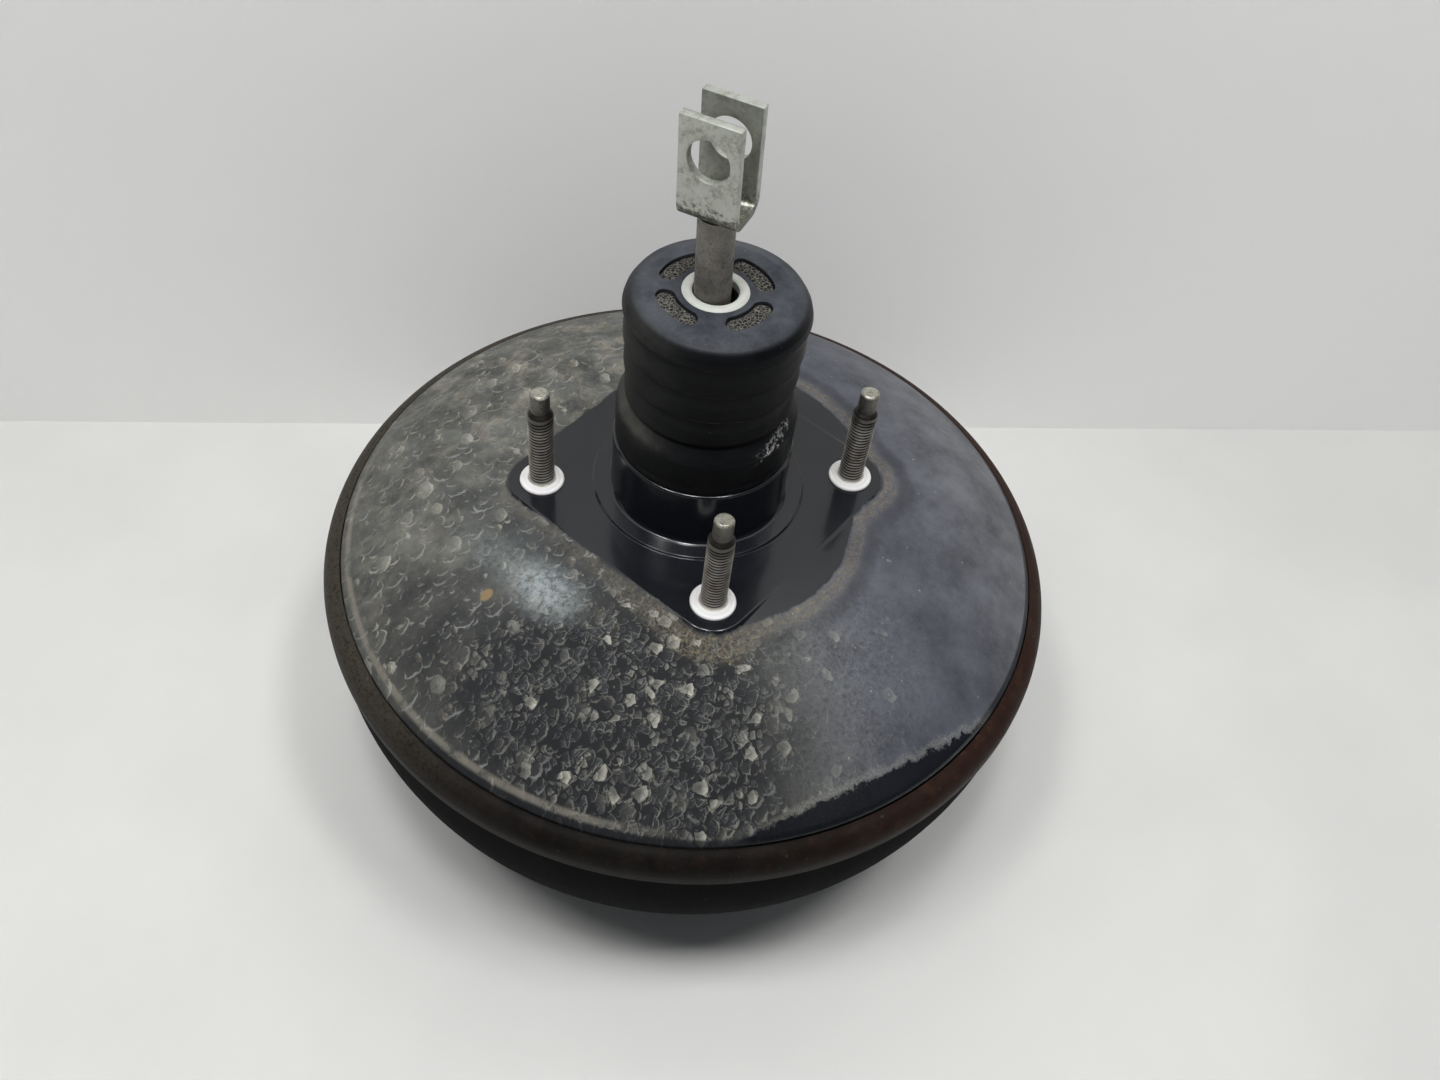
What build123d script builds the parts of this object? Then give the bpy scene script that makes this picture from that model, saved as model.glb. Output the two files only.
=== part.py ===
"""Single-diaphragm vacuum brake booster, in millimetres.

The origin is the middle of the mounting plateau on the rear shell, and +Z runs along the
valve body towards the brake pedal. The master cylinder bolts to the front, at -Z.
"""

import os
from math import asin, atan, cos, degrees, hypot, pi, radians, sin, sqrt

from build123d import *

# Clearances
press_gap = 0.05         # a piece pushed into its seat
running_gap = 0.06       # a piece that slides in a bore
loose_gap = 0.3          # pieces that only lie beside each other

# Rear shell
stud_spacing = 70.7      # the four studs stand on a square of this side
seat_margin = 10.8       # from a stud's centre to the plateau's edge
rear_wall = 1.6
dome_depth = 27.0        # where the dome ends, just inside the seam
plateau_step = 0.8       # how far the plateau stands above the dome beside it
plateau_edge = 0.6
flange_drop = 4.5        # from the dome's edge down to the flange in the seam
rear_flange_reach = 3.5
neck_step = 1.8          # the neck steps in here, below the boot's cuff
neck_step_height = 21.8
neck_height = 34.0
neck_root_fillet = 1.5
ledge_reach = 6.0        # a low ledge runs round the foot of the neck
ledge_height = 0.6

# Front shell
seam_gap = 0.5
rim_radius = 121.8
rim_roll = 6.5           # how far the rolled rim reaches in over the rear shell
rim_drop = 8.0           # from the dome's edge down to the rim's widest line
rim_band = 2.6
rim_step = 1.6
rim_proud = 1.3          # the rim stands out from the bowl's side by this
crimp_wall = 1.8
bowl_wall = 2.2
bowl_side = 7.4          # the bowl's straight side, below the rim
front_depth = 109.25
shoulder_curve = 18.0
front_pad_radius = 57.0
front_pad_rise = 2.5
front_hole_radius = 17.0

# Fasteners
stud_radius = 4.0
stud_collar_radius = 4.3 # the plain collar that is pressed through plate, shell and washer
stud_height = 38.0
dog_radius = 3.0
dog_length = 7.5
stud_head_radius = 7.0
stud_head_height = 3.5
washer_radius = 7.05
washer_thickness = 1.5
front_stud_spacing = 80.0
front_stud_reach = 16.0
plate_thickness = 2.5    # reinforcing plates inside both shells

# Seals and guide in the neck
bush_wall = 2.1
bush_length = 9.0
seal_length = 9.5
seal_wall = 1.5
retainer_thickness = 1.2

# Power piston
valve_body_radius = 22.4
boss_lip = 1.2           # the boss reaches past the output rod's clip by this
tail_wall = 1.5
poppet_shoulder = 1.7    # the poppet's bead sits on this step in the bore
poppet_length = 16.0     # from the valve floor to that step
valve_floor_height = 24.0
seat_ring_height = 2.2
seat_ring_radius = 12.5
seat_ring_width = 2.0
plunger_radius = 10.0
plunger_bore_depth = 24.0
plunger_tip_radius = 5.0
vacuum_port_radius = 17.6
vacuum_port_width = 3.2
vacuum_port_span = 64.0
air_port_width = 8.0
air_port_reach = 11.3
boss_radius = 24.0
body_flange_radius = 28.0
body_flange_thickness = 4.2
diaphragm_plate_wall = 1.2
diaphragm_plate_depth = 14.6
plate_flat_radius = 58.0
roll_room = 14.3         # between the plate's rim and the shell, for the diaphragm's roll
plate_rim_depth = 44.0
plate_slope_depth = 28.0
diaphragm_wall = 1.6
bead_width = 4.6
roll_depth = 50.0
hub_ring_radius = 27.0
hub_ring_thickness = 1.6

# Valve key
key_thickness = 3.2
key_width = 22.0
key_reach = 31.5
key_tail = 9.0
key_notch_radius = 6.8

# Control valve
groove_radius = 6.4
plunger_stroke = 1.6
ball_height = 20.0
ball_radius = 6.2
socket_mouth_radius = 5.5
poppet_wall = 1.5
poppet_lip_thickness = 2.5
poppet_lip_radius = 16.4
poppet_bore = 8.2
poppet_sleeve_radius = 15.4
poppet_bead_height = 3.0
poppet_retainer_bore = 10.5
vacuum_gap = 0.85        # the vacuum port stands open by this much when the brake is off
silencer_thickness = 3.5
filter_thickness = 9.5
filter_bore = 10.2
filter_sunk = 1.7        # below the valve body's end, clear of the boot's ring

# Pushrod and clevis, measured along the rod from its ball
rod_tilt_about_x = -0.77
rod_tilt_about_y = -2.4
clevis_turn = 12.75
rod_radius = 5.2
rod_neck_radius = 4.0
rod_shank_radius = 4.6
spring_seat_radius = 9.6
spring_seat_thickness = 1.5
spring_seat_drop = 2.3   # below the silencer, so that the rod can swing
pin_height = 102.4
clevis_width = 16.7
clevis_wall = 2.5
clevis_gap = 9.5
clevis_top = 10.9        # above the pin's centre
clevis_bottom = 19.3     # below the pin's centre
clevis_bend = 4.5
pin_hole_radius = 6.0
rivet_radius = 3.4
rivet_proud = 0.8        # the rod's end, riveted over inside the clevis

# Dust boot
boot_headroom = 4.0      # from the valve body's end to the boot's top
boot_clearance = 0.7     # the bellows' inside clears the valve body by this
bellows_waist = 1.7      # from the bellows' inside to its first and last pleat
bellows_crown = 3.3
pleat_depth = 0.9
pleat_width = 1.1
pleat_count = 3
cuff_inset = 0.5         # the cuff lies this far inside the neck's outer face
cuff_rise = 0.6          # from the neck's tip to the top of the cuff
waist_rise = 5.4         # from there to the first pleat
cap_depth = 7.0
cap_edge = 2.6
cap_taper = 0.5
cap_round = 4.4
boot_top_wall = 1.7
ring_radius = 9.55
ring_play = 1.4
ring_flange = 0.8
ring_proud = 0.6
vent_radius = 14.2
vent_width = 5.8
vent_span = 66.0
vent_bearings = [83.0, 166.0, 263.0, 346.0]

# Output rod and reaction disc
reaction_radius = 14.0
reaction_thickness = 6.0
reaction_top = 38.0
output_head_thickness = 4.0
output_rod_radius = 6.0
adjuster_length = 9.0
adjuster_shank_radius = 3.0
adjuster_shank_length = 12.0
output_rod_reach = 1.0   # past the face that the master cylinder seats on
clip_thickness = 0.8

# Coil springs
return_wire = 1.7
return_turns = 5
return_rear_radius = 35.5
spring_margin = 1.0      # between the seal cup's flange and the heads of the studs
poppet_spring_wire = 0.6
poppet_spring_turns = 3
poppet_spring_radius = 12.6
rod_spring_wire = 0.7
rod_spring_turns = 3
rod_spring_length = 10.0
rod_spring_radius = 13.6
rod_spring_top_radius = 7.6

# Check valve
valve_margin = 2.0       # between the front pad and the grommet
grommet_radius = 12.0
grommet_margin = 0.8     # from the grommet to where the flat front ends
grommet_hole_radius = 10.4
grommet_lip = 2.4
valve_stem_radius = 8.3
valve_stem_reach = 4.5
valve_chamber_radius = 6.6
valve_port_radius = 3.5
valve_wall = 2.2
valve_depth = 14.0
valve_flange_radius = 11.2
valve_flange_thickness = 1.8
flap_radius = 5.4
flap_thickness = 1.5
flap_spring_wire = 0.4
flap_spring_turns = 2
spigot_radius = 4.5
spigot_boss_radius = 5.6
spigot_boss_length = 2.0
spigot_bore_radius = 3.0
spigot_length = 20.0
cap_thickness = 2.0

# Levels and radii that follow from the sizes above
half_plateau = stud_spacing / 2 + seat_margin
dome_flat = half_plateau - 2.0
dome_radius = rim_radius - rim_roll
dome_curve = ((dome_radius - dome_flat) ** 2 + (dome_depth - plateau_step) ** 2) / (
    2 * (dome_depth - plateau_step)
)
rear_plate_bottom = -rear_wall - plate_thickness
rear_flange_depth = dome_depth + flange_drop
rear_flange_radius = dome_radius + rear_flange_reach

guide_bore = valve_body_radius + running_gap
neck_tip_bore = guide_bore + bush_wall + press_gap
neck_tip_radius = neck_tip_bore + rear_wall
neck_bore = neck_tip_bore + neck_step
neck_radius = neck_bore + rear_wall

rim_depth = dome_depth + rim_drop
crimp_curve = ((rim_roll - seam_gap) ** 2 + (rim_drop - seam_gap) ** 2) / (2 * (rim_roll - seam_gap))
ledge_depth = rim_depth + rim_band
bowl_radius = rim_radius - rim_proud
bowl_side_depth = ledge_depth + bowl_side
valve_bearing_radius = front_pad_radius + valve_margin + grommet_radius
front_flat_radius = valve_bearing_radius + grommet_radius + grommet_margin
front_face = -front_depth - front_pad_rise
front_plate_top = front_face + bowl_wall + plate_thickness

# one large arc and the shoulder's smaller one lead from the bowl's side to its flat front
curve_reach = bowl_radius - front_flat_radius - shoulder_curve
curve_drop = front_depth - bowl_side_depth - shoulder_curve
shoulder_angle = 2 * degrees(atan(curve_reach / curve_drop))
bowl_curve = shoulder_curve + curve_drop / sin(radians(shoulder_angle))

plate_rim_radius = bowl_radius - bowl_wall - roll_room
key_top = rear_plate_bottom - loose_gap
key_bottom = key_top - key_thickness
plunger_rim = valve_floor_height + seat_ring_height + vacuum_gap
reaction_bottom = -reaction_top - reaction_thickness
valve_body_front = -reaction_bottom + output_head_thickness + clip_thickness + boss_lip
output_tip = front_face - output_rod_reach
return_front_radius = front_stud_spacing / 2 - stud_head_radius - spring_margin - 2 * return_wire

tail_bore = valve_body_radius - tail_wall
poppet_bore_radius = tail_bore - poppet_shoulder
shoulder_top = valve_floor_height + poppet_length
retainer_top = shoulder_top + poppet_bead_height + retainer_thickness
spring_seat_top = retainer_top + rod_spring_length + loose_gap + spring_seat_thickness
rod_shoulder_height = spring_seat_top - ball_height
filter_bottom = spring_seat_top + spring_seat_drop + silencer_thickness
valve_body_end = filter_bottom + filter_thickness + filter_sunk

boot_height = valve_body_end + boot_headroom
boot_lip_height = neck_step_height + running_gap
boot_inner_radius = valve_body_radius + boot_clearance
cuff_radius = neck_radius - cuff_inset
cuff_top = neck_height + cuff_rise
waist_height = cuff_top + waist_rise
cap_bottom = boot_height - cap_depth

# The pushrod's own frame: its origin is the ball, and its +Z runs up the rod
rod_plane = Plane(Location((0, 0, ball_height), (rod_tilt_about_x, rod_tilt_about_y, clevis_turn)))
rod_section = Plane(origin=rod_plane.origin, x_dir=rod_plane.x_dir, z_dir=-rod_plane.y_dir)
rod_axis = Axis(rod_plane.origin, rod_plane.z_dir)
rod_at_boot_top = rod_plane.origin + rod_plane.z_dir * ((boot_height - ball_height) / rod_plane.z_dir.Z)
rod_lean = hypot(rod_at_boot_top.X, rod_at_boot_top.Y)
ring_share = (rod_lean - ring_play + loose_gap) / rod_lean
ring_x = rod_at_boot_top.X * ring_share
ring_y = rod_at_boot_top.Y * ring_share


def ring(outer, inner, low, high, mode=Mode.ADD):
    """An upright ring about Z, or a disc where the inner radius is 0."""
    with BuildSketch(Plane.XY.offset(low)) as outline:
        Circle(outer)
        if inner:
            Circle(inner, mode=Mode.SUBTRACT)
    extrude(outline.sketch, amount=high - low, mode=mode)


def turned(*points, mode=Mode.ADD):
    """A section given as (radius, height) points, revolved about Z."""
    with BuildSketch(Plane.XZ) as section:
        with BuildLine():
            Polyline(*points, close=True)
        make_face()
    revolve(section.sketch, axis=Axis.Z, mode=mode)


def coil(low, high, low_radius, high_radius, wire, turns):
    """A coil spring about Z, of square-cut wire, between two seats."""
    pitch = (high - low - 2 * wire) / turns
    angle = degrees(asin((high_radius - low_radius) / hypot(high_radius - low_radius, high - low)))
    path = Helix(pitch, pitch * turns, low_radius, (0, 0, low + wire), cone_angle=angle)
    with BuildSketch(Plane(path @ 0, x_dir=(1, 0, 0), z_dir=path % 0)) as section:
        Rectangle(wire * sqrt(pi), wire * sqrt(pi))
    sweep(section.sketch, path=path, is_frenet=True)


def save(piece, label):
    piece.part.label = label
    export_step(piece.part, f"parts/{label}.step")


os.makedirs("parts", exist_ok=True)


# --- Housing ---

def dome_section(inset):
    """The dome's section down to the seam, with its surface moved in by the inset."""
    centre = -plateau_step - dome_curve
    curve = dome_curve - inset
    edge = centre + sqrt(curve**2 - (dome_radius - inset - dome_flat) ** 2)
    middle = dome_flat + (dome_radius - inset - dome_flat) / 2
    with BuildSketch(Plane.XZ) as section:
        with BuildLine():
            Polyline((0, -rear_flange_depth), (0, -plateau_step - inset), (dome_flat, -plateau_step - inset))
            ThreePointArc(
                (dome_flat, -plateau_step - inset),
                (middle, centre + sqrt(curve**2 - (middle - dome_flat) ** 2)),
                (dome_radius - inset, edge),
            )
            Polyline((dome_radius - inset, edge), (dome_radius - inset, -rear_flange_depth), (0, -rear_flange_depth))
        make_face()
    return section.sketch


with BuildPart() as rear_shell:
    revolve(dome_section(0), axis=Axis.Z)
    with BuildSketch() as plateau:
        RectangleRounded(2 * half_plateau, 2 * half_plateau, seat_margin)
    extrude(amount=-2 * seat_margin)
    chamfer(rear_shell.faces().sort_by(Axis.Z)[-1].edges(), plateau_edge)
    ring(neck_radius + ledge_reach, 0, 0, ledge_height)
    ledge_edge = rear_shell.edges().group_by(Axis.Z)[-1]
    chamfer(ledge_edge, 0.8 * ledge_height)
    ring(neck_radius, 0, 0, neck_step_height)
    neck_root = rear_shell.edges().filter_by(GeomType.CIRCLE)
    neck_root = neck_root.filter_by_position(Axis.Z, ledge_height - 0.01, ledge_height + 0.01)
    fillet(neck_root.filter_by(lambda edge: abs(edge.radius - neck_radius) < 0.01), neck_root_fillet)
    ring(neck_tip_radius, 0, neck_step_height, neck_height)
    ring(rear_flange_radius, 0, -rear_flange_depth - rear_wall, -rear_flange_depth)
    revolve(dome_section(rear_wall), axis=Axis.Z, mode=Mode.SUBTRACT)
    with BuildSketch(Plane.XY.offset(-rear_wall)) as pocket:
        side = 2 * (half_plateau - rear_wall)
        RectangleRounded(side, side, seat_margin - rear_wall)
    extrude(amount=-plate_thickness, mode=Mode.SUBTRACT)
    ring(dome_radius - rear_wall, 0, -rear_flange_depth - rear_wall, -rear_flange_depth, Mode.SUBTRACT)
    ring(neck_bore, 0, -dome_depth, neck_step_height - rear_wall, Mode.SUBTRACT)
    ring(neck_tip_bore, 0, 0, neck_height, Mode.SUBTRACT)
    with BuildSketch() as stud_holes:
        with GridLocations(stud_spacing, stud_spacing, 2, 2):
            Circle(stud_collar_radius + press_gap)
    extrude(amount=-3 * rear_wall, mode=Mode.SUBTRACT)
save(rear_shell, "rear_shell")


def bowl_section(inset):
    """The front shell's section from the rim down, with its surface moved in by the inset."""
    side = bowl_radius - inset
    with BuildSketch(Plane.XZ) as section:
        with BuildLine():
            start = Line((0, -ledge_depth), (side, -ledge_depth))
            wall = Line(start @ 1, (side, -bowl_side_depth))
            curve = JernArc(wall @ 1, wall % 1, bowl_curve - inset, -shoulder_angle)
            shoulder = JernArc(curve @ 1, curve % 1, shoulder_curve - inset, shoulder_angle - 90)
            Polyline(shoulder @ 1, (0, (shoulder @ 1).Y), start @ 0)
        make_face()
    return section.sketch


with BuildPart() as front_shell:
    with BuildSketch(Plane.XZ) as rim:
        with BuildLine():
            lip = (dome_radius + seam_gap, -dome_depth - seam_gap)
            turn_in = radians(45)
            ThreePointArc(
                lip,
                (
                    rim_radius - crimp_curve * (1 - cos(turn_in)),
                    -rim_depth + crimp_curve * sin(turn_in),
                ),
                (rim_radius, -rim_depth),
            )
            Polyline(
                (rim_radius, -rim_depth),
                (rim_radius, -ledge_depth),
                (bowl_radius, -ledge_depth - rim_step),
                (0, -ledge_depth - rim_step),
                (0, lip[1]),
                lip,
            )
        make_face()
    revolve()
    revolve(bowl_section(0), axis=Axis.Z)
    turned(
        (0, front_face),
        (front_pad_radius - front_pad_rise, front_face),
        (front_pad_radius, -front_depth),
        (front_pad_radius, -front_depth + bowl_wall),
        (0, -front_depth + bowl_wall),
    )
    # room for the rear shell's flange and the diaphragm's bead under the rolled rim
    turned(
        (0, lip[1]),
        lip,
        (lip[0], -rear_flange_depth),
        (rear_flange_radius + seam_gap, -rear_flange_depth),
        (rim_radius - crimp_wall, -rim_depth),
        (rim_radius - crimp_wall, -ledge_depth),
        (0, -ledge_depth),
        mode=Mode.SUBTRACT,
    )
    revolve(bowl_section(bowl_wall), axis=Axis.Z, mode=Mode.SUBTRACT)
    ring(front_pad_radius - front_pad_rise - bowl_wall, 0, front_face + bowl_wall, -front_depth + bowl_wall,
         Mode.SUBTRACT)
    ring(front_hole_radius, 0, front_face, -front_depth + bowl_wall, Mode.SUBTRACT)
    with BuildSketch(Plane.XY.offset(front_face)) as front_holes:
        with GridLocations(front_stud_spacing, 0, 2, 1):
            Circle(stud_collar_radius + press_gap)
        with Locations((0, valve_bearing_radius)):
            Circle(grommet_hole_radius)
    extrude(amount=front_pad_rise + 2 * bowl_wall, mode=Mode.SUBTRACT)
save(front_shell, "front_shell")

with BuildPart() as rear_plate:
    with BuildSketch(Plane.XY.offset(rear_plate_bottom)):
        side = 2 * (half_plateau - rear_wall - loose_gap)
        RectangleRounded(side, side, seat_margin - rear_wall - loose_gap)
        Circle(neck_radius, mode=Mode.SUBTRACT)
        with GridLocations(stud_spacing, stud_spacing, 2, 2):
            Circle(stud_collar_radius + press_gap, mode=Mode.SUBTRACT)
    extrude(amount=plate_thickness)
save(rear_plate, "rear_reinforcement")

with BuildPart() as front_plate:
    with BuildSketch(Plane.XY.offset(front_face + bowl_wall)):
        Circle(front_pad_radius - front_pad_rise - bowl_wall - loose_gap)
        Circle(front_hole_radius + 2 * press_gap, mode=Mode.SUBTRACT)
        with GridLocations(front_stud_spacing, 0, 2, 1):
            Circle(stud_collar_radius + press_gap, mode=Mode.SUBTRACT)
    extrude(amount=plate_thickness)
save(front_plate, "front_reinforcement")

with BuildPart() as mounting_studs:
    with BuildSketch(Plane.XY.offset(rear_plate_bottom - stud_head_height)):
        with GridLocations(stud_spacing, stud_spacing, 2, 2):
            Circle(stud_head_radius)
    extrude(amount=stud_head_height)
    with BuildSketch(Plane.XY.offset(rear_plate_bottom)):
        with GridLocations(stud_spacing, stud_spacing, 2, 2):
            Circle(stud_collar_radius)
    extrude(amount=washer_thickness - rear_plate_bottom)
    with BuildSketch(Plane.XY.offset(washer_thickness)):
        with GridLocations(stud_spacing, stud_spacing, 2, 2):
            Circle(stud_radius)
    extrude(amount=stud_height - dog_length - washer_thickness)
    chamfer(mounting_studs.faces().group_by(Axis.Z)[-1].edges(), (stud_radius - dog_radius) * 0.6)
    with BuildSketch(Plane.XY.offset(stud_height - dog_length)):
        with GridLocations(stud_spacing, stud_spacing, 2, 2):
            Circle(dog_radius)
    extrude(amount=dog_length)
    chamfer(mounting_studs.faces().group_by(Axis.Z)[-1].edges(), 0.15 * dog_radius)
save(mounting_studs, "mounting_studs")

with BuildPart() as stud_washers:
    with BuildSketch():
        with GridLocations(stud_spacing, stud_spacing, 2, 2):
            Circle(washer_radius)
            Circle(stud_collar_radius + press_gap, mode=Mode.SUBTRACT)
    extrude(amount=washer_thickness)
save(stud_washers, "stud_washers")

with BuildPart() as cylinder_studs:
    with BuildSketch(Plane.XY.offset(front_plate_top)):
        with GridLocations(front_stud_spacing, 0, 2, 1):
            Circle(stud_head_radius)
    extrude(amount=stud_head_height)
    with BuildSketch(Plane.XY.offset(front_plate_top)):
        with GridLocations(front_stud_spacing, 0, 2, 1):
            Circle(stud_collar_radius)
    extrude(amount=front_face - front_plate_top)
    with BuildSketch(Plane.XY.offset(front_face)):
        with GridLocations(front_stud_spacing, 0, 2, 1):
            Circle(stud_radius)
    extrude(amount=-front_stud_reach)
    chamfer(cylinder_studs.faces().group_by(Axis.Z)[0].edges(), 0.2 * stud_radius)
save(cylinder_studs, "master_cylinder_studs")

with BuildPart() as neck_bush:
    ring(neck_tip_bore - press_gap, guide_bore, neck_height - bush_length, neck_height)
save(neck_bush, "neck_bush")

with BuildPart() as neck_seal:
    # a U-shaped lip seal: its inner lip wipes the valve body
    seal_top = neck_step_height - rear_wall
    seal_outer = neck_bore - press_gap
    turned(
        (seal_outer, seal_top),
        (seal_outer, seal_top - seal_length),
        (seal_outer - seal_wall, seal_top - seal_length),
        (seal_outer - seal_wall, seal_top - seal_wall),
        (guide_bore + seal_wall, seal_top - seal_wall),
        (guide_bore + seal_wall, seal_top - seal_length + seal_wall),
        (guide_bore, seal_top - seal_length),
        (guide_bore, seal_top),
    )
save(neck_seal, "neck_seal")

with BuildPart() as seal_retainer:
    retainer_bottom = seal_top - seal_length - 2 * seal_wall
    seal_outer = neck_bore - press_gap
    ring(seal_outer, seal_outer - retainer_thickness, retainer_bottom, seal_top - seal_length)
    ring(seal_outer, valve_body_radius + 3 * loose_gap, retainer_bottom, retainer_bottom + retainer_thickness)
save(seal_retainer, "seal_retainer")

with BuildPart() as front_seal:
    seal_bore = output_rod_radius + running_gap
    seal_flange = front_hole_radius + 2 * seal_wall
    turned(
        (front_hole_radius - press_gap, front_face),
        (seal_bore + 2 * seal_wall, front_face),
        (seal_bore, front_face + seal_wall),
        (seal_bore, front_face + 2 * seal_wall),
        (seal_bore + seal_wall, front_plate_top),
        (seal_bore + seal_wall, front_plate_top + seal_wall),
        (seal_flange, front_plate_top + seal_wall),
        (seal_flange, front_plate_top),
        (front_hole_radius - press_gap, front_plate_top),
    )
save(front_seal, "front_seal")

with BuildPart() as front_seal_cup:
    # held down by the return spring, whose first coil stands on its flange
    cup_inner = seal_flange + loose_gap
    cup_outer = return_front_radius + 2 * return_wire
    seal_face = front_plate_top + seal_wall
    turned(
        (seal_bore + seal_wall, seal_face),
        (seal_bore + seal_wall, seal_face + retainer_thickness),
        (cup_inner + retainer_thickness, seal_face + retainer_thickness),
        (cup_inner + retainer_thickness, front_plate_top + retainer_thickness),
        (cup_outer, front_plate_top + retainer_thickness),
        (cup_outer, front_plate_top),
        (cup_inner, front_plate_top),
        (cup_inner, seal_face),
    )
save(front_seal_cup, "front_seal_cup")

with BuildPart() as return_spring:
    coil(
        front_plate_top + retainer_thickness,
        -diaphragm_plate_depth - diaphragm_plate_wall,
        return_front_radius,
        return_rear_radius,
        return_wire,
        return_turns,
    )
save(return_spring, "return_spring")


# --- Power piston ---

with BuildPart() as valve_body:
    flange_top = -diaphragm_plate_depth - diaphragm_plate_wall
    ring(valve_body_radius, 0, flange_top, valve_body_end)
    ring(body_flange_radius, 0, flange_top - body_flange_thickness, flange_top)
    ring(boss_radius, 0, -valve_body_front, flange_top - body_flange_thickness)
    chamfer(valve_body.edges().group_by(Axis.Z)[-1], 0.5 * tail_wall)
    ring(tail_bore, 0, shoulder_top, valve_body_end, Mode.SUBTRACT)
    ring(poppet_bore_radius, 0, valve_floor_height, shoulder_top, Mode.SUBTRACT)
    seat_outer = seat_ring_radius + seat_ring_width / 2
    seat_inner = seat_ring_radius - seat_ring_width / 2
    ring(seat_outer, seat_inner, valve_floor_height, valve_floor_height + seat_ring_height)
    ring(plunger_radius + running_gap, 0, -plunger_bore_depth, valve_floor_height, Mode.SUBTRACT)
    ring(plunger_tip_radius + running_gap, 0, -reaction_top, -plunger_bore_depth, Mode.SUBTRACT)
    ring(reaction_radius + press_gap, 0, -valve_body_front, -reaction_top, Mode.SUBTRACT)
    # two vacuum passages lead from the valve floor to the front chamber
    with BuildSketch(Plane.XY.offset(-valve_body_front)) as vacuum_ports:
        for bearing in (90, 270):
            with BuildLine(mode=Mode.PRIVATE) as middle:
                CenterArc((0, 0), vacuum_port_radius, bearing - vacuum_port_span / 2, vacuum_port_span)
            SlotArc(middle.edge(), vacuum_port_width)
    extrude(amount=valve_body_front + valve_floor_height, mode=Mode.SUBTRACT)
    # the key's slot crosses the plunger bore, and air leaves through it to the rear chamber
    slot_height = key_thickness + 2 * loose_gap
    with BuildSketch(Plane.XY.offset(key_bottom - loose_gap)) as key_slot:
        with Locations(((key_reach - key_tail) / 2, 0)):
            Rectangle(key_reach + key_tail + 2 * loose_gap, key_width + 2 * loose_gap)
    extrude(amount=slot_height, mode=Mode.SUBTRACT)
    with BuildSketch(Plane.XY.offset(key_top)) as air_port:
        with Locations((air_port_reach / 2, 0)):
            Rectangle(air_port_reach, air_port_width)
    extrude(amount=valve_floor_height - key_top, mode=Mode.SUBTRACT)
save(valve_body, "valve_body")

with BuildPart() as diaphragm_plate:
    with BuildSketch(Plane.XZ):
        with BuildLine():
            Polyline(
                (valve_body_radius + press_gap, -diaphragm_plate_depth),
                (plate_flat_radius, -diaphragm_plate_depth),
                (plate_rim_radius, -plate_slope_depth),
                (plate_rim_radius, -plate_rim_depth),
            )
            offset(amount=diaphragm_plate_wall, side=Side.RIGHT)
        make_face()
    revolve()
save(diaphragm_plate, "diaphragm_plate")

with BuildPart() as diaphragm:
    bead_radius = rim_radius - crimp_wall - 2 * loose_gap
    bead_top = -rear_flange_depth - rear_wall
    bead_height = bead_top + ledge_depth - 2 * press_gap
    roll_outer = bead_radius - bead_width + diaphragm_wall / 2
    with BuildSketch(Plane.XZ):
        with BuildLine():
            Polyline(
                (valve_body_radius + press_gap, -diaphragm_plate_depth),
                (plate_flat_radius, -diaphragm_plate_depth),
                (plate_rim_radius, -plate_slope_depth),
                (plate_rim_radius, -roll_depth),
                (roll_outer, -roll_depth),
                (roll_outer, bead_top - bead_height / 2),
            )
            offset(amount=diaphragm_wall, side=Side.LEFT)
        make_face()
    revolve()
    ring(bead_radius, bead_radius - bead_width, bead_top - bead_height, bead_top)
save(diaphragm, "diaphragm")

with BuildPart() as hub_ring:
    hub_bottom = -diaphragm_plate_depth + diaphragm_wall
    ring(hub_ring_radius, valve_body_radius + press_gap, hub_bottom, hub_bottom + hub_ring_thickness)
save(hub_ring, "diaphragm_retainer")

with BuildPart() as valve_key:
    with BuildSketch(Plane.XY.offset(key_bottom)):
        with Locations(((key_reach - key_tail) / 2, 0)):
            RectangleRounded(key_reach + key_tail, key_width, 2)
        Circle(key_notch_radius, mode=Mode.SUBTRACT)
        with Locations((-key_tail / 2, 0)):
            Rectangle(key_tail, 2 * key_notch_radius, mode=Mode.SUBTRACT)
    extrude(amount=key_thickness)
save(valve_key, "valve_key")

with BuildPart() as reaction_disc:
    ring(reaction_radius, 0, reaction_bottom, -reaction_top)
save(reaction_disc, "reaction_disc")

with BuildPart() as output_rod:
    rod_end = output_tip + adjuster_length
    ring(reaction_radius - running_gap, 0, reaction_bottom - output_head_thickness, reaction_bottom)
    ring(output_rod_radius, 0, rod_end, reaction_bottom - output_head_thickness)
    head_root = output_rod.edges().group_by(Axis.Z)[-3]
    chamfer(head_root.filter_by(lambda edge: abs(edge.radius - output_rod_radius) < 0.01), 2)
    ring(adjuster_shank_radius + press_gap, 0, rod_end, rod_end + adjuster_shank_length, Mode.SUBTRACT)
save(output_rod, "output_rod")

with BuildPart() as adjuster_screw:
    ring(output_rod_radius - press_gap, 0, output_tip, rod_end)
    chamfer(adjuster_screw.edges().group_by(Axis.Z)[0], 0.3 * output_rod_radius)
    ring(adjuster_shank_radius, 0, rod_end, rod_end + adjuster_shank_length)
save(adjuster_screw, "adjuster_screw")

with BuildPart() as rod_clip:
    # a dished clip in the mouth of the recess keeps the output rod in the valve body
    clip_top = reaction_bottom - output_head_thickness - press_gap
    ring(reaction_radius, reaction_radius - 2 * retainer_thickness, clip_top - clip_thickness, clip_top)
save(rod_clip, "output_rod_clip")

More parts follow.
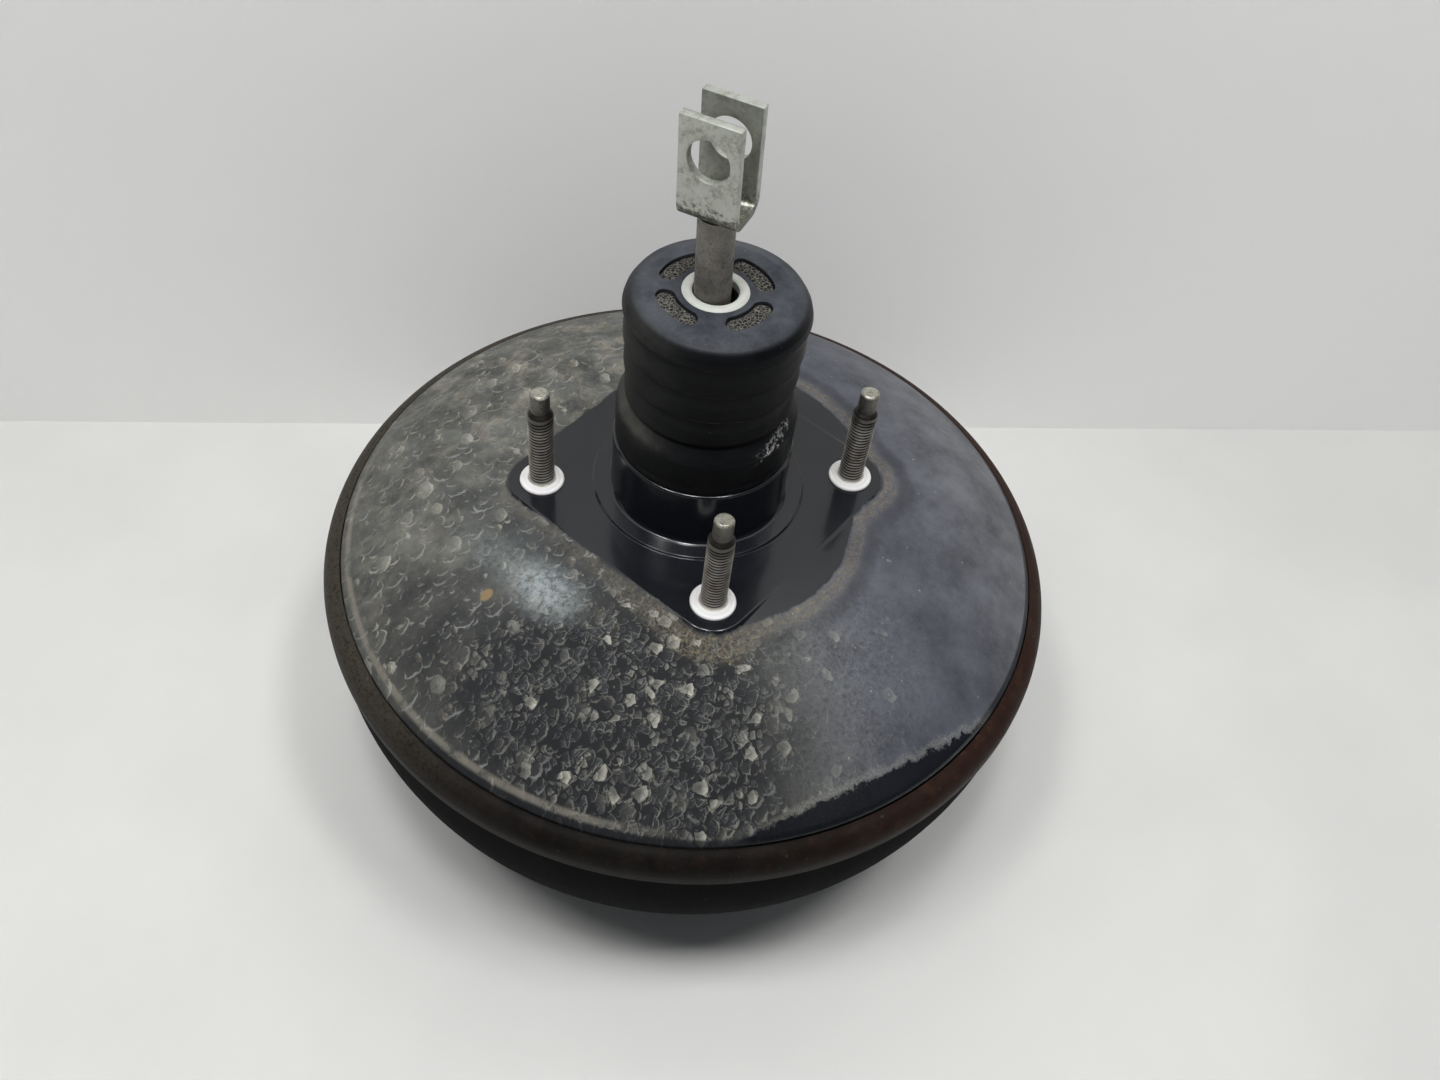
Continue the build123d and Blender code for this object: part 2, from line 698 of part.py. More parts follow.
with BuildPart() as poppet_retainer:
    ring(tail_bore - press_gap, poppet_retainer_bore, retainer_top - retainer_thickness, retainer_top)
    ring(tail_bore - press_gap, tail_bore - retainer_thickness, retainer_top, retainer_top + 2 * retainer_thickness)
save(poppet_retainer, "poppet_retainer")

with BuildPart() as poppet_valve:
    lip_bottom = plunger_rim + press_gap
    lip_top = lip_bottom + poppet_lip_thickness
    sleeve_inner = poppet_sleeve_radius - poppet_wall
    turned(
        (poppet_bore, lip_bottom),
        (poppet_lip_radius, lip_bottom),
        (poppet_lip_radius, lip_top),
        (poppet_sleeve_radius, lip_top),
        (poppet_sleeve_radius, shoulder_top),
        (tail_bore - press_gap, shoulder_top),
        (tail_bore - press_gap, shoulder_top + poppet_bead_height),
        (sleeve_inner, shoulder_top + poppet_bead_height),
        (sleeve_inner, lip_top),
        (poppet_bore, lip_top),
    )
save(poppet_valve, "poppet_valve")

with BuildPart() as poppet_spring:
    coil(
        lip_top,
        retainer_top - retainer_thickness,
        poppet_spring_radius,
        poppet_spring_radius,
        poppet_spring_wire,
        poppet_spring_turns,
    )
save(poppet_spring, "poppet_spring")

with BuildPart() as silencer:
    ring(tail_bore - press_gap, filter_bore, filter_bottom - silencer_thickness, filter_bottom)
save(silencer, "air_silencer")

with BuildPart() as air_filter:
    ring(tail_bore - press_gap, filter_bore, filter_bottom, filter_bottom + filter_thickness)
save(air_filter, "air_filter")


# --- Valve plunger ---

with BuildPart() as plunger:
    groove_top = key_top + plunger_stroke + loose_gap
    groove_bottom = key_bottom - loose_gap
    guide_end = -plunger_bore_depth + plunger_stroke + loose_gap
    tip_end = -reaction_top + plunger_stroke + loose_gap
    cup_bottom = ball_height - ball_radius - 3 * retainer_thickness
    cup_radius = seat_inner - 2 * vacuum_gap
    ring(plunger_tip_radius, 0, tip_end, guide_end)
    ring(plunger_radius, 0, guide_end, groove_bottom)
    ring(groove_radius, 0, groove_bottom, groove_top)
    ring(plunger_radius, 0, groove_top, cup_bottom)
    ring(cup_radius, 0, cup_bottom, plunger_rim)
    with Locations((0, 0, ball_height)):
        Sphere(ball_radius + running_gap, mode=Mode.SUBTRACT)
    ring(socket_mouth_radius, 0, ball_height, plunger_rim, Mode.SUBTRACT)
    chamfer(plunger.edges().group_by(Axis.Z)[-1].sort_by(SortBy.RADIUS)[0], running_gap * 10)
save(plunger, "valve_plunger")


# --- Pushrod ---

def along_rod(radius, low, high, mode=Mode.ADD):
    """A cylinder on the pushrod's axis between two heights above its ball."""
    with BuildSketch(rod_plane.offset(low)) as outline:
        Circle(radius)
    extrude(outline.sketch, amount=high - low, mode=mode)


clevis_floor = pin_height - clevis_bottom

with BuildPart() as push_rod:
    with Locations(rod_plane):
        Sphere(ball_radius)
    along_rod(rod_neck_radius, 0, 2 * ball_radius)
    with BuildSketch(rod_section) as taper:
        with BuildLine():
            Polyline(
                (0, 2 * ball_radius - rod_neck_radius),
                (rod_neck_radius, 2 * ball_radius - rod_neck_radius),
                (rod_shank_radius, 2 * ball_radius),
                (rod_shank_radius, rod_shoulder_height),
                (rod_radius, rod_shoulder_height),
                (rod_radius, clevis_floor),
                (rivet_radius, clevis_floor),
                (rivet_radius, clevis_floor + clevis_wall + rivet_proud),
                (0, clevis_floor + clevis_wall + rivet_proud),
                close=True,
            )
        make_face()
    revolve(axis=rod_axis)
save(push_rod, "push_rod")

with BuildPart() as clevis:
    with BuildSketch(rod_section):
        with BuildLine():
            half = clevis_gap / 2 + clevis_wall
            inside = clevis_gap / 2
            ear_top = pin_height + clevis_top
            FilletPolyline(
                (-inside, ear_top),
                (-inside, clevis_floor + clevis_wall),
                (inside, clevis_floor + clevis_wall),
                (inside, ear_top),
                radius=clevis_bend - clevis_wall,
            )
            offset(amount=clevis_wall, side=Side.RIGHT)
        make_face()
    extrude(amount=clevis_width / 2, both=True)
    ear_plane = Plane(
        origin=(rod_plane.origin + rod_plane.z_dir * pin_height - rod_plane.x_dir * 2 * half),
        x_dir=rod_plane.y_dir,
        z_dir=rod_plane.x_dir,
    )
    with BuildSketch(ear_plane):
        Circle(pin_hole_radius)
    extrude(amount=4 * half, mode=Mode.SUBTRACT)
    along_rod(rivet_radius + press_gap, clevis_floor, clevis_floor + 2 * clevis_wall, Mode.SUBTRACT)
save(clevis, "clevis")

with BuildPart() as spring_seat:
    along_rod(spring_seat_radius, rod_shoulder_height - spring_seat_thickness, rod_shoulder_height)
    along_rod(rod_shank_radius + press_gap, rod_shoulder_height - 2 * spring_seat_thickness,
              rod_shoulder_height + 1, Mode.SUBTRACT)
save(spring_seat, "rod_spring_seat")

with BuildPart() as rod_spring:
    coil(
        retainer_top,
        ball_height + rod_shoulder_height - spring_seat_thickness - loose_gap,
        rod_spring_radius,
        rod_spring_top_radius,
        rod_spring_wire,
        rod_spring_turns,
    )
save(rod_spring, "rod_return_spring")

# --- Dust boot and its ring ---

with BuildPart() as boot:
    pitch = (cap_bottom - waist_height) / pleat_count
    crown_step = (bellows_crown - bellows_waist) / pleat_count
    outline = [(cuff_radius, boot_lip_height), (cuff_radius, cuff_top)]
    for pleat in range(pleat_count + 1):
        pleat_radius = boot_inner_radius + bellows_waist - pleat_depth + pleat * crown_step
        outline.append((pleat_radius, waist_height + pleat * pitch))
        outline.append((pleat_radius + pleat_depth, waist_height + pleat * pitch + pleat_width))
    outline += [(pleat_radius + pleat_depth - cap_taper, boot_height - cap_edge)]
    outline += [(pleat_radius + pleat_depth - cap_taper - cap_round, boot_height)]
    turned(
        *outline,
        (0, boot_height),
        (0, boot_height - boot_top_wall),
        (boot_inner_radius, boot_height - boot_top_wall),
        (boot_inner_radius, neck_height + running_gap),
        (neck_tip_radius + press_gap, neck_height + running_gap),
        (neck_tip_radius + press_gap, boot_lip_height),
    )
    vent_sweep = vent_span - 2 * degrees(asin(vent_width / 2 / vent_radius))
    with BuildSketch(Plane.XY.offset(boot_height)) as openings:
        with Locations((ring_x, ring_y)):
            Circle(ring_radius - ring_flange + press_gap)
        for bearing in vent_bearings:
            with BuildLine(mode=Mode.PRIVATE) as middle:
                CenterArc((ring_x, ring_y), vent_radius, bearing - vent_sweep / 2, vent_sweep)
            SlotArc(middle.edge(), vent_width)
    extrude(amount=-boot_top_wall, mode=Mode.SUBTRACT)
save(boot, "boot")

with BuildPart() as boot_ring:
    # flanges above and below grip the edge of the boot's hole
    with Locations((ring_x, ring_y)):
        with Locations((0, 0, boot_height + ring_proud)):
            Cylinder(ring_radius, ring_proud, align=(Align.CENTER, Align.CENTER, Align.MAX))
        with Locations((0, 0, boot_height)):
            Cylinder(ring_radius - ring_flange, boot_top_wall, align=(Align.CENTER, Align.CENTER, Align.MAX))
        with Locations((0, 0, boot_height - boot_top_wall)):
            Cylinder(ring_radius, ring_proud, align=(Align.CENTER, Align.CENTER, Align.MAX))
        with Locations((0, 0, boot_height + ring_proud)):
            Hole(rod_radius + ring_play, boot_top_wall + 2 * ring_proud)
save(boot_ring, "boot_ring")

# --- Check valve ---

valve_seat = -front_depth - valve_flange_thickness - grommet_lip
valve_floor = valve_seat - valve_depth


def on_valve(outer, inner, low, high, mode=Mode.ADD):
    """An upright ring on the check valve's axis."""
    with BuildSketch(Plane.XY.offset(low)) as outline:
        with Locations((0, valve_bearing_radius)):
            Circle(outer)
            if inner:
                Circle(inner, mode=Mode.SUBTRACT)
    extrude(outline.sketch, amount=high - low, mode=mode)


with BuildPart() as grommet:
    inner_face = -front_depth + bowl_wall
    on_valve(grommet_radius, valve_stem_radius + press_gap, -front_depth - grommet_lip, -front_depth)
    on_valve(grommet_hole_radius - press_gap, valve_stem_radius + press_gap, -front_depth, inner_face)
    on_valve(grommet_radius, valve_stem_radius + press_gap, inner_face, inner_face + grommet_lip)
save(grommet, "check_valve_grommet")

spigot_plane = Plane(
    origin=(0, valve_bearing_radius, valve_floor + cap_thickness + spigot_boss_radius),
    x_dir=(1, 0, 0),
    z_dir=(0, 1, 0),
)

with BuildPart() as check_valve_body:
    chamber_outer = valve_chamber_radius + valve_wall
    on_valve(valve_stem_radius, 0, valve_seat, -front_depth + bowl_wall + valve_stem_reach)
    on_valve(valve_flange_radius, 0, valve_seat, valve_seat + valve_flange_thickness)
    on_valve(chamber_outer, 0, valve_floor, valve_seat)
    with BuildSketch(spigot_plane) as spigot_boss:
        Circle(spigot_boss_radius)
    extrude(amount=chamber_outer + spigot_boss_length)
    with BuildSketch(spigot_plane) as spigot:
        Circle(spigot_radius)
    extrude(amount=chamber_outer + spigot_boss_length + spigot_length)
    chamfer(check_valve_body.faces().sort_by(Axis.Y)[-1].edges(), 0.2 * spigot_radius)
    on_valve(valve_chamber_radius, 0, valve_floor, valve_seat, Mode.SUBTRACT)
    on_valve(valve_port_radius, 0, valve_seat, -front_depth + bowl_wall + valve_stem_reach, Mode.SUBTRACT)
    with BuildSketch(spigot_plane) as spigot_bore:
        Circle(spigot_bore_radius)
    extrude(amount=chamber_outer + spigot_boss_length + spigot_length, mode=Mode.SUBTRACT)
save(check_valve_body, "check_valve_body")

with BuildPart() as check_valve_cap:
    on_valve(valve_chamber_radius - press_gap, 0, valve_floor, valve_floor + cap_thickness)
save(check_valve_cap, "check_valve_cap")

with BuildPart() as check_valve_flap:
    flap_top = valve_seat - press_gap
    on_valve(flap_radius, 0, flap_top - flap_thickness, flap_top)
save(check_valve_flap, "check_valve_flap")

with BuildPart() as flap_spring:
    spring_low = valve_floor + cap_thickness
    spring_high = flap_top - flap_thickness
    pitch = (spring_high - spring_low - 2 * flap_spring_wire) / flap_spring_turns
    spring_radius = flap_radius - 2 * flap_spring_wire
    path = Helix(pitch, pitch * flap_spring_turns, spring_radius,
                 (0, valve_bearing_radius, spring_low + flap_spring_wire))
    with BuildSketch(Plane(path @ 0, x_dir=(1, 0, 0), z_dir=path % 0)) as wire_section:
        Rectangle(flap_spring_wire * sqrt(pi), flap_spring_wire * sqrt(pi))
    sweep(wire_section.sketch, path=path, is_frenet=True)
save(flap_spring, "check_valve_spring")
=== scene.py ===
import math
from types import SimpleNamespace

import bpy
from mathutils import Matrix, Vector


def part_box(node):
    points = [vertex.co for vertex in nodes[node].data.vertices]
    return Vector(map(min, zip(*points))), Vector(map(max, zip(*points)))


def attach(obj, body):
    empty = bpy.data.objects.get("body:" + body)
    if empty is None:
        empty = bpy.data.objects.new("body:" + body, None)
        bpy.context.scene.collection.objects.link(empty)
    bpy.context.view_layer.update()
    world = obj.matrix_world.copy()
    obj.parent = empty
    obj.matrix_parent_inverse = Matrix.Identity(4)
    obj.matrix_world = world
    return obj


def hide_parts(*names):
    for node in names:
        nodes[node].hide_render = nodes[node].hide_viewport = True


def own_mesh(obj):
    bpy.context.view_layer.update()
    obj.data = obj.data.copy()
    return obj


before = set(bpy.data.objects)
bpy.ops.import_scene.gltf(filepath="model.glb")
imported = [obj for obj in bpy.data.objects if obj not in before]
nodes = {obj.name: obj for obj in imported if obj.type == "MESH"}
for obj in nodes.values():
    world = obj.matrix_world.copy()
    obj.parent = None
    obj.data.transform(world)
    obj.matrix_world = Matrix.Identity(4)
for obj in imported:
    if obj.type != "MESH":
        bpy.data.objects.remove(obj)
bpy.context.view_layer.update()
mm = 0.001
mergeReach = 1e-6        # points closer than this, in metres, become one


# Making shapes

def named(values):
    # a dictionary whose values are read as names
    return SimpleNamespace(**values)


def deselectAll():
    if bpy.context.object and bpy.context.object.mode != "OBJECT":
        bpy.ops.object.mode_set(mode="OBJECT")
    bpy.ops.object.select_all(action="DESELECT")


def makeActive(piece):
    deselectAll()
    piece.select_set(True)
    bpy.context.view_layer.objects.active = piece


def applyModifier(piece, kind, **settings):
    makeActive(piece)
    modifier = piece.modifiers.new(kind.lower(), kind)
    for key, value in settings.items():
        setattr(modifier, key, value)
    bpy.ops.object.modifier_apply(modifier=modifier.name)


def breakEdges(piece, width, angle):
    applyModifier(piece, "BEVEL", width=width * mm, segments=2, limit_method="ANGLE",
                  angle_limit=math.radians(angle), use_clamp_overlap=True)


def applyPlace(piece):
    makeActive(piece)
    bpy.ops.object.transform_apply(location=True)


def editAll(piece, *steps):
    # runs operators on the whole mesh
    makeActive(piece)
    bpy.ops.object.mode_set(mode="EDIT")
    for operator, settings in (selectAll, *steps):
        operator(**settings)
    bpy.ops.object.mode_set(mode="OBJECT")


selectAll = (bpy.ops.mesh.select_all, {"action": "SELECT"})
mergeClose = (bpy.ops.mesh.remove_doubles, {"threshold": mergeReach})
turnOutwards = (bpy.ops.mesh.normals_make_consistent, {"inside": False})
dissolveFlat = (bpy.ops.mesh.dissolve_limited, {"angle_limit": math.radians(0.5)})


def rounded(corners, steps=4):
    # a section of (radius, height, fillet) corners, with the fillets turned into points
    points = []
    for i, (r, z, fillet) in enumerate(corners):
        if not fillet or i in (0, len(corners) - 1):
            points.append((r, z))
            continue
        here = Vector((r, z))
        back = Vector(corners[i - 1][:2]) - here
        ahead = Vector(corners[i + 1][:2]) - here
        turn = math.pi - back.angle(ahead)
        reach = min(fillet * math.tan(turn / 2), 0.48 * back.length, 0.48 * ahead.length)
        start = here + back.normalized() * reach
        end = here + ahead.normalized() * reach
        for k in range(steps + 1):
            t = k / steps
            points.append(tuple(start * (1 - t) ** 2 + here * 2 * t * (1 - t) + end * t ** 2))
    return points


def lathe(points, segments=96, centre=(0, 0), joinEnds=True):
    # a circle is drawn out and scaled from each point of the section to the next
    deselectAll()
    r, z = points[0]
    bpy.ops.mesh.primitive_circle_add(vertices=segments, radius=r * mm, fill_type="NOTHING",
                                      location=(centre[0] * mm, centre[1] * mm, z * mm))
    piece = bpy.context.object
    bpy.ops.object.mode_set(mode="EDIT")
    bpy.ops.mesh.select_mode(type="EDGE")
    bpy.ops.mesh.select_all(action="SELECT")
    for nextR, nextZ in points[1:]:
        bpy.ops.mesh.extrude_edges_move(TRANSFORM_OT_translate={"value": (0, 0, (nextZ - z) * mm)})
        bpy.ops.transform.resize(value=(nextR / r, nextR / r, 1))
        r, z = nextR, nextZ
    bpy.ops.mesh.select_all(action="DESELECT")
    bpy.ops.mesh.select_non_manifold(extend=False, use_wire=False, use_boundary=True, use_multi_face=False,
                                     use_non_contiguous=False, use_verts=False)
    if joinEnds:
        bpy.ops.mesh.bridge_edge_loops()
    else:
        bpy.ops.mesh.fill_holes(sides=0)
    bpy.ops.object.mode_set(mode="OBJECT")
    return piece


def joinAll(pieces):
    deselectAll()
    for piece in pieces:
        piece.select_set(True)
    bpy.context.view_layer.objects.active = pieces[0]
    bpy.ops.object.join()
    return bpy.context.object


def repeatAt(piece, spots):
    # copies of the piece at each (x, y), joined into one
    copies = []
    for x, y in spots:
        makeActive(piece)
        bpy.ops.object.duplicate(linked=False)
        bpy.ops.transform.translate(value=(x * mm, y * mm, 0))
        copies.append(bpy.context.object)
    bpy.data.objects.remove(piece)
    return joinAll(copies)


def finishPiece(piece, name, body, material, angle=35, replaced=()):
    # the place goes into the mesh, the faces point outwards, and the piece gets its finish
    makeActive(piece)
    bpy.ops.object.transform_apply(location=True, rotation=True, scale=True)
    bpy.context.tool_settings.mesh_select_mode = (True, False, False)
    editAll(piece, mergeClose, turnOutwards)
    bpy.ops.object.shade_smooth_by_angle(angle=math.radians(angle))
    piece.name = name
    piece.data.name = name
    piece.data.materials.clear()
    piece.data.materials.append(material)
    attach(piece, body)
    if replaced:
        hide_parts(*replaced)
    return piece


def refinedCopy(node, bevel, angle=30):
    # the node's own shape with its loose triangles merged and its edges broken
    makeActive(nodes[node])
    bpy.ops.object.duplicate(linked=False)
    piece = bpy.context.object
    for key in list(piece.keys()):
        del piece[key]
    editAll(piece, mergeClose, dissolveFlat)
    if bevel:
        breakEdges(piece, bevel, angle)
    return piece


# Making finishes

class Wire:
    # a socket of a node tree that can be added, multiplied and compared
    def __init__(self, tree, socket):
        self.tree = tree
        self.socket = socket

    def calc(self, operation, *others, clamp=False):
        return place(self.tree, "Math", dict(enumerate((self, *others))), operation=operation, use_clamp=clamp)[0]

    def __add__(self, other):
        return self.calc("ADD", other)

    def __sub__(self, other):
        return self.calc("SUBTRACT", other)

    def __mul__(self, other):
        return self.calc("MULTIPLY", other)

    def __truediv__(self, other):
        return self.calc("DIVIDE", other)

    __radd__ = __add__
    __rmul__ = __mul__

    def __rsub__(self, other):
        return (self * -1) + other

    def __abs__(self):
        return self.calc("ABSOLUTE")

    def __pow__(self, power):
        return self.calc("POWER", power)

    def clamped(self):
        return self.calc("ADD", 0.0, clamp=True)

    def step(self, low, high):
        # 0 below low, 1 above high, or the other way round where low is the larger
        return place(self.tree, "MapRange", {"Value": self, "From Min": low, "From Max": high},
                     interpolation_type="SMOOTHSTEP")["Result"]


class Placed:
    # a node whose outputs are read by name as wires
    def __init__(self, tree, node):
        self.tree = tree
        self.node = node

    def __getitem__(self, name):
        return Wire(self.tree, self.node.outputs[name])


def plug(socket, value):
    if isinstance(value, Wire):
        value.tree.links.new(value.socket, socket)
    elif isinstance(value, (tuple, list)) and len(value) == 3 and socket.type == "RGBA":
        socket.default_value = (*value, 1)
    else:
        socket.default_value = value


def place(tree, kind, values=None, **settings):
    node = tree.nodes.new("ShaderNode" + kind)
    for key, value in settings.items():
        setattr(node, key, value)
    for key, value in (values or {}).items():
        plug(node.inputs[key], value)
    return Placed(tree, node)


def mixed(amount, first, second):
    return place(amount.tree, "Mix", {0: amount, 6: first, 7: second}, data_type="RGBA")[2]


def layered(colour, *layers):
    # each layer is a mask and the colour that it lays over those before it
    for mask, tone in layers:
        colour = mixed(mask, colour, tone)
    return colour


def noiseAt(where, size, detail=3.0, roughness=0.55, distortion=0.0):
    # size is the width of one lump in millimetres
    return place(where.tree, "TexNoise", {"Vector": where, "Scale": 1 / size, "Detail": detail,
                                          "Roughness": roughness, "Distortion": distortion})["Fac"]


def vectorMath(operation, *vectors):
    return place(vectors[0].tree, "VectorMath", dict(enumerate(vectors)), operation=operation)["Vector"]


def spacedOut(where, spacing):
    # the place measured in cells of this width
    return place(where.tree, "VectorMath", {0: where, "Scale": spacing ** -1.0}, operation="SCALE")["Vector"]


def useGroup(group, where, **values):
    return place(where.tree, "Group", {"Where": where, **values}, node_tree=group)


def newGroup(name, values, outputs):
    # takes a place and some numbers, and gives out numbers from 0 to 1
    group = bpy.data.node_groups.new(name, "ShaderNodeTree")
    group.interface.new_socket(name="Where", in_out="INPUT", socket_type="NodeSocketVector")
    for label, value in values.items():
        socket = group.interface.new_socket(name=label, in_out="INPUT", socket_type="NodeSocketFloat")
        socket.default_value = value
    for label in outputs:
        group.interface.new_socket(name=label, in_out="OUTPUT", socket_type="NodeSocketFloat")
    return Placed(group, group.nodes.new("NodeGroupInput"))


def giveOut(group, **values):
    leave = group.nodes.new("NodeGroupOutput")
    for label, value in values.items():
        plug(leave.inputs[label], value)
    return group


def newMaterial(name, attribute=None):
    # with the place in millimetres, or as saved in an attribute of the mesh
    material = bpy.data.materials.new(name)
    material.use_nodes = True
    if attribute:
        return material, place(material.node_tree, "Attribute", attribute_name=attribute)["Vector"]
    coords = place(material.node_tree, "TexCoord")["Object"]
    return material, vectorMath("MULTIPLY", coords, (1000, 1000, 1000))


def surface(material, values, height=None, strength=0.0, depth=0.0):
    # height is 0 to 1 and depth is in millimetres
    inputs = material.node_tree.nodes["Principled BSDF"].inputs
    for key, value in values.items():
        plug(inputs[key], value)
    if height:
        plug(inputs["Normal"], place(height.tree, "Bump", {"Height": height, "Strength": strength,
                                                           "Distance": depth * mm})["Normal"])
    return material


def axesOf(where):
    parts = place(where.tree, "SeparateXYZ", {0: where})
    return parts["X"], parts["Y"], parts["Z"]


def spotAt(x, y, centre, radius, soft):
    # 1 inside an ellipse seen from above, fading over the soft share of its size
    dx = (x - centre[0]) / radius[0]
    dy = (y - centre[1]) / radius[1]
    return ((dx * dx + dy * dy) ** 0.5).step(1 + soft, 1 - soft)


# Effects that several finishes share

def buildDust():
    # patchy settled dust: broad clouds broken up by fine grain
    entry = newGroup("settledDust", {"Patch": 20.0, "Cover": 0.5}, ("Mask", "Grain"))
    where = entry["Where"]
    wide = place(entry.tree, "TexNoise", {"Vector": where, "Scale": entry["Patch"] ** -1.0, "Detail": 5.0,
                                          "Roughness": 0.62})["Fac"]
    grain = noiseAt(where, 0.9, 4, 0.7)
    edge = 1.0 - entry["Cover"]
    mask = (wide * 0.75 + grain * 0.25 - edge * 0.62 - 0.19) * 3.2
    return giveOut(entry.tree, Mask=(mask + 0.35).clamped(), Grain=grain)


def cellsOf(scaled, **settings):
    # the distance from the middle of the nearest cell, that middle, and three random tones of the cell
    cells = place(scaled.tree, "TexVoronoi", {"Vector": scaled, "Scale": 1.0}, **settings)
    tones = place(scaled.tree, "SeparateColor", {0: cells["Color"]})
    return cells["Distance"], cells["Position"], tones


def buildSpecks():
    # small round grains scattered at random
    entry = newGroup("scatteredSpecks", {"Spacing": 3.0, "Share": 0.3, "Radius": 0.16}, ("Mask", "Tone"))
    distance, _, tones = cellsOf(spacedOut(entry["Where"], entry["Spacing"]))
    chosen = tones["Red"].calc("LESS_THAN", entry["Share"])
    radius = entry["Radius"] * (tones["Green"] * 0.9 + 0.35)
    return giveOut(entry.tree, Mask=(radius - distance).step(0.0, 0.06) * chosen, Tone=tones["Blue"])


def flatCells(entry, warpSize, warpAmount):
    # uneven cells seen from above, and for each point which way it lies from the middle of its cell
    where = entry["Where"]
    warp = place(entry.tree, "TexNoise", {"Vector": where, "Scale": 1 / warpSize, "Detail": 2.0})["Color"]
    centred = vectorMath("SUBTRACT", warp, (0.5, 0.5, 0.5))
    pushed = vectorMath("MULTIPLY_ADD", centred, (warpAmount, warpAmount, warpAmount), where)
    scaled = spacedOut(pushed, entry["Spacing"])
    distance, middle, tones = cellsOf(scaled, voronoi_dimensions="2D")
    across, up, _ = axesOf(vectorMath("SUBTRACT", scaled, middle))
    return scaled, distance, tones, up.calc("ARCTAN2", across)


def buildDrops():
    # dried splashes: thin curls and rings, each thicker on the side that its drop ran to
    entry = newGroup("driedDrops", {"Spacing": 7.0, "Share": 0.6, "Radius": 0.26, "Line": 0.06, "Closed": 0.0},
                     ("Curl", "Disc", "Tone"))
    _, distance, tones, angle = flatCells(entry, 1.9, 1.7)
    aim = angle + 1.57 - (tones["Blue"] - 0.5) * 2.6
    heavy = aim.calc("COSINE") * 0.5 + 0.5
    distance = distance * ((aim * 2.0).calc("COSINE") * 0.16 + 1.0)
    radius = entry["Radius"] * (tones["Red"] * 1.1 + 0.4)
    width = entry["Line"] * (heavy * heavy * 1.5 + 0.25)
    ring = (width - abs(distance - radius)).step(0.0, 0.035)
    opening = (heavy * 1.7 + tones["Green"] * 0.9 - 0.95 + entry["Closed"]).clamped()
    chosen = tones["Green"].calc("LESS_THAN", entry["Share"])
    return giveOut(entry.tree, Curl=ring * opening * chosen, Tone=tones["Blue"],
                   Disc=(radius - distance).step(0.0, 0.06) * chosen * (heavy * 0.7 + 0.3))


def buildPebbles():
    # close-set dried lumps with dark gaps, each with painted light on one side and a painted highlight (Rim) along
    # that side's edge
    entry = newGroup("driedLumps", {"Spacing": 3.0, "Share": 0.6, "Gap": 0.07}, ("Body", "Rim", "Tone"))
    scaled, distance, tones, angle = flatCells(entry, 1.3, 1.0)
    # painted light: each lump is paler on the side towards the light
    side = (angle + 1.2 - (tones["Green"] - 0.5) * 1.2).calc("COSINE") * 0.5 + 0.5
    toEdge = place(entry.tree, "TexVoronoi", {"Vector": scaled, "Scale": 1.0}, voronoi_dimensions="2D",
                   feature="DISTANCE_TO_EDGE")["Distance"]
    toGap = toEdge - entry["Gap"]
    shape = toGap.step(0.0, 0.05) * distance.step(0.62, 0.5)
    chosen = tones["Red"].calc("LESS_THAN", entry["Share"])
    depth = (distance * 1.6).clamped()
    return giveOut(entry.tree, Body=shape * chosen * (side * depth * 0.8 + 0.2), Tone=tones["Blue"],
                   Rim=toGap.step(0.0, 0.03) * toGap.step(0.11, 0.05) * chosen * side * side)


def buildPlating():
    # fine grey variation of dull plated steel, with darker stains
    entry = newGroup("platedSteel", {"Stain": 0.5}, ("Shade", "Stains", "Grain"))
    where = entry["Where"]
    cloud = noiseAt(where, 5.0, 5, 0.65)
    grain = noiseAt(where, 0.45, 3, 0.7)
    stain = noiseAt(where, 2.2, 6, 0.75)
    return giveOut(entry.tree, Shade=cloud * 0.7 + grain * 0.3, Grain=grain,
                   Stains=(stain + entry["Stain"] * 0.3 - 0.66).step(0.0, 0.16))


settledDust = buildDust()
scatteredSpecks = buildSpecks()
driedDrops = buildDrops()
driedLumps = buildPebbles()
platedSteel = buildPlating()
print("shared effects made")


# Finishes

domeLook = {
    "paint": (0.0060, 0.0072, 0.0100),
    "greenFilm": (0.146, 0.150, 0.132),
    "blueFilm": (0.096, 0.102, 0.125),
    # dust film painted paler towards the far right, as a painted sheen
    "farFilm": (0.185, 0.190, 0.205),
    "beigeFilm": (0.270, 0.250, 0.205),
    "halo": (0.055, 0.058, 0.052),
    "lowFilm": (0.008, 0.009, 0.011),
    "band": (0.150, 0.128, 0.096),
    "flowLine": (0.230, 0.180, 0.100),
    "markPale": (0.420, 0.410, 0.350),
    "markGrey": (0.270, 0.280, 0.265),
    "markBrown": (0.210, 0.165, 0.110),
    # lumpPale is also the colour of the painted highlights along the lumps' edges
    "lumpPale": (0.440, 0.430, 0.370),
    "lumpGrey": (0.088, 0.098, 0.104),
    # a painted reflection of a lamp on the dusty paint
    "haze": (0.330, 0.375, 0.385),
    "thinFilm": (0.030, 0.035, 0.043),
    "bigDrop": (0.260, 0.175, 0.080),
    "plateau": 46.15,        # half the plateau's side
    "corner": 10.8,
    "seam": 112.8,           # radius of the dusty seam
    "wipedFrom": 108.6,      # inner radius of the wiped crescent
    "wipedTurn": 108,        # degrees clockwise to the middle of that crescent
    "gloss": 0.45,           # shine where the paint is bare
    "coatRoughness": 0.10,
}


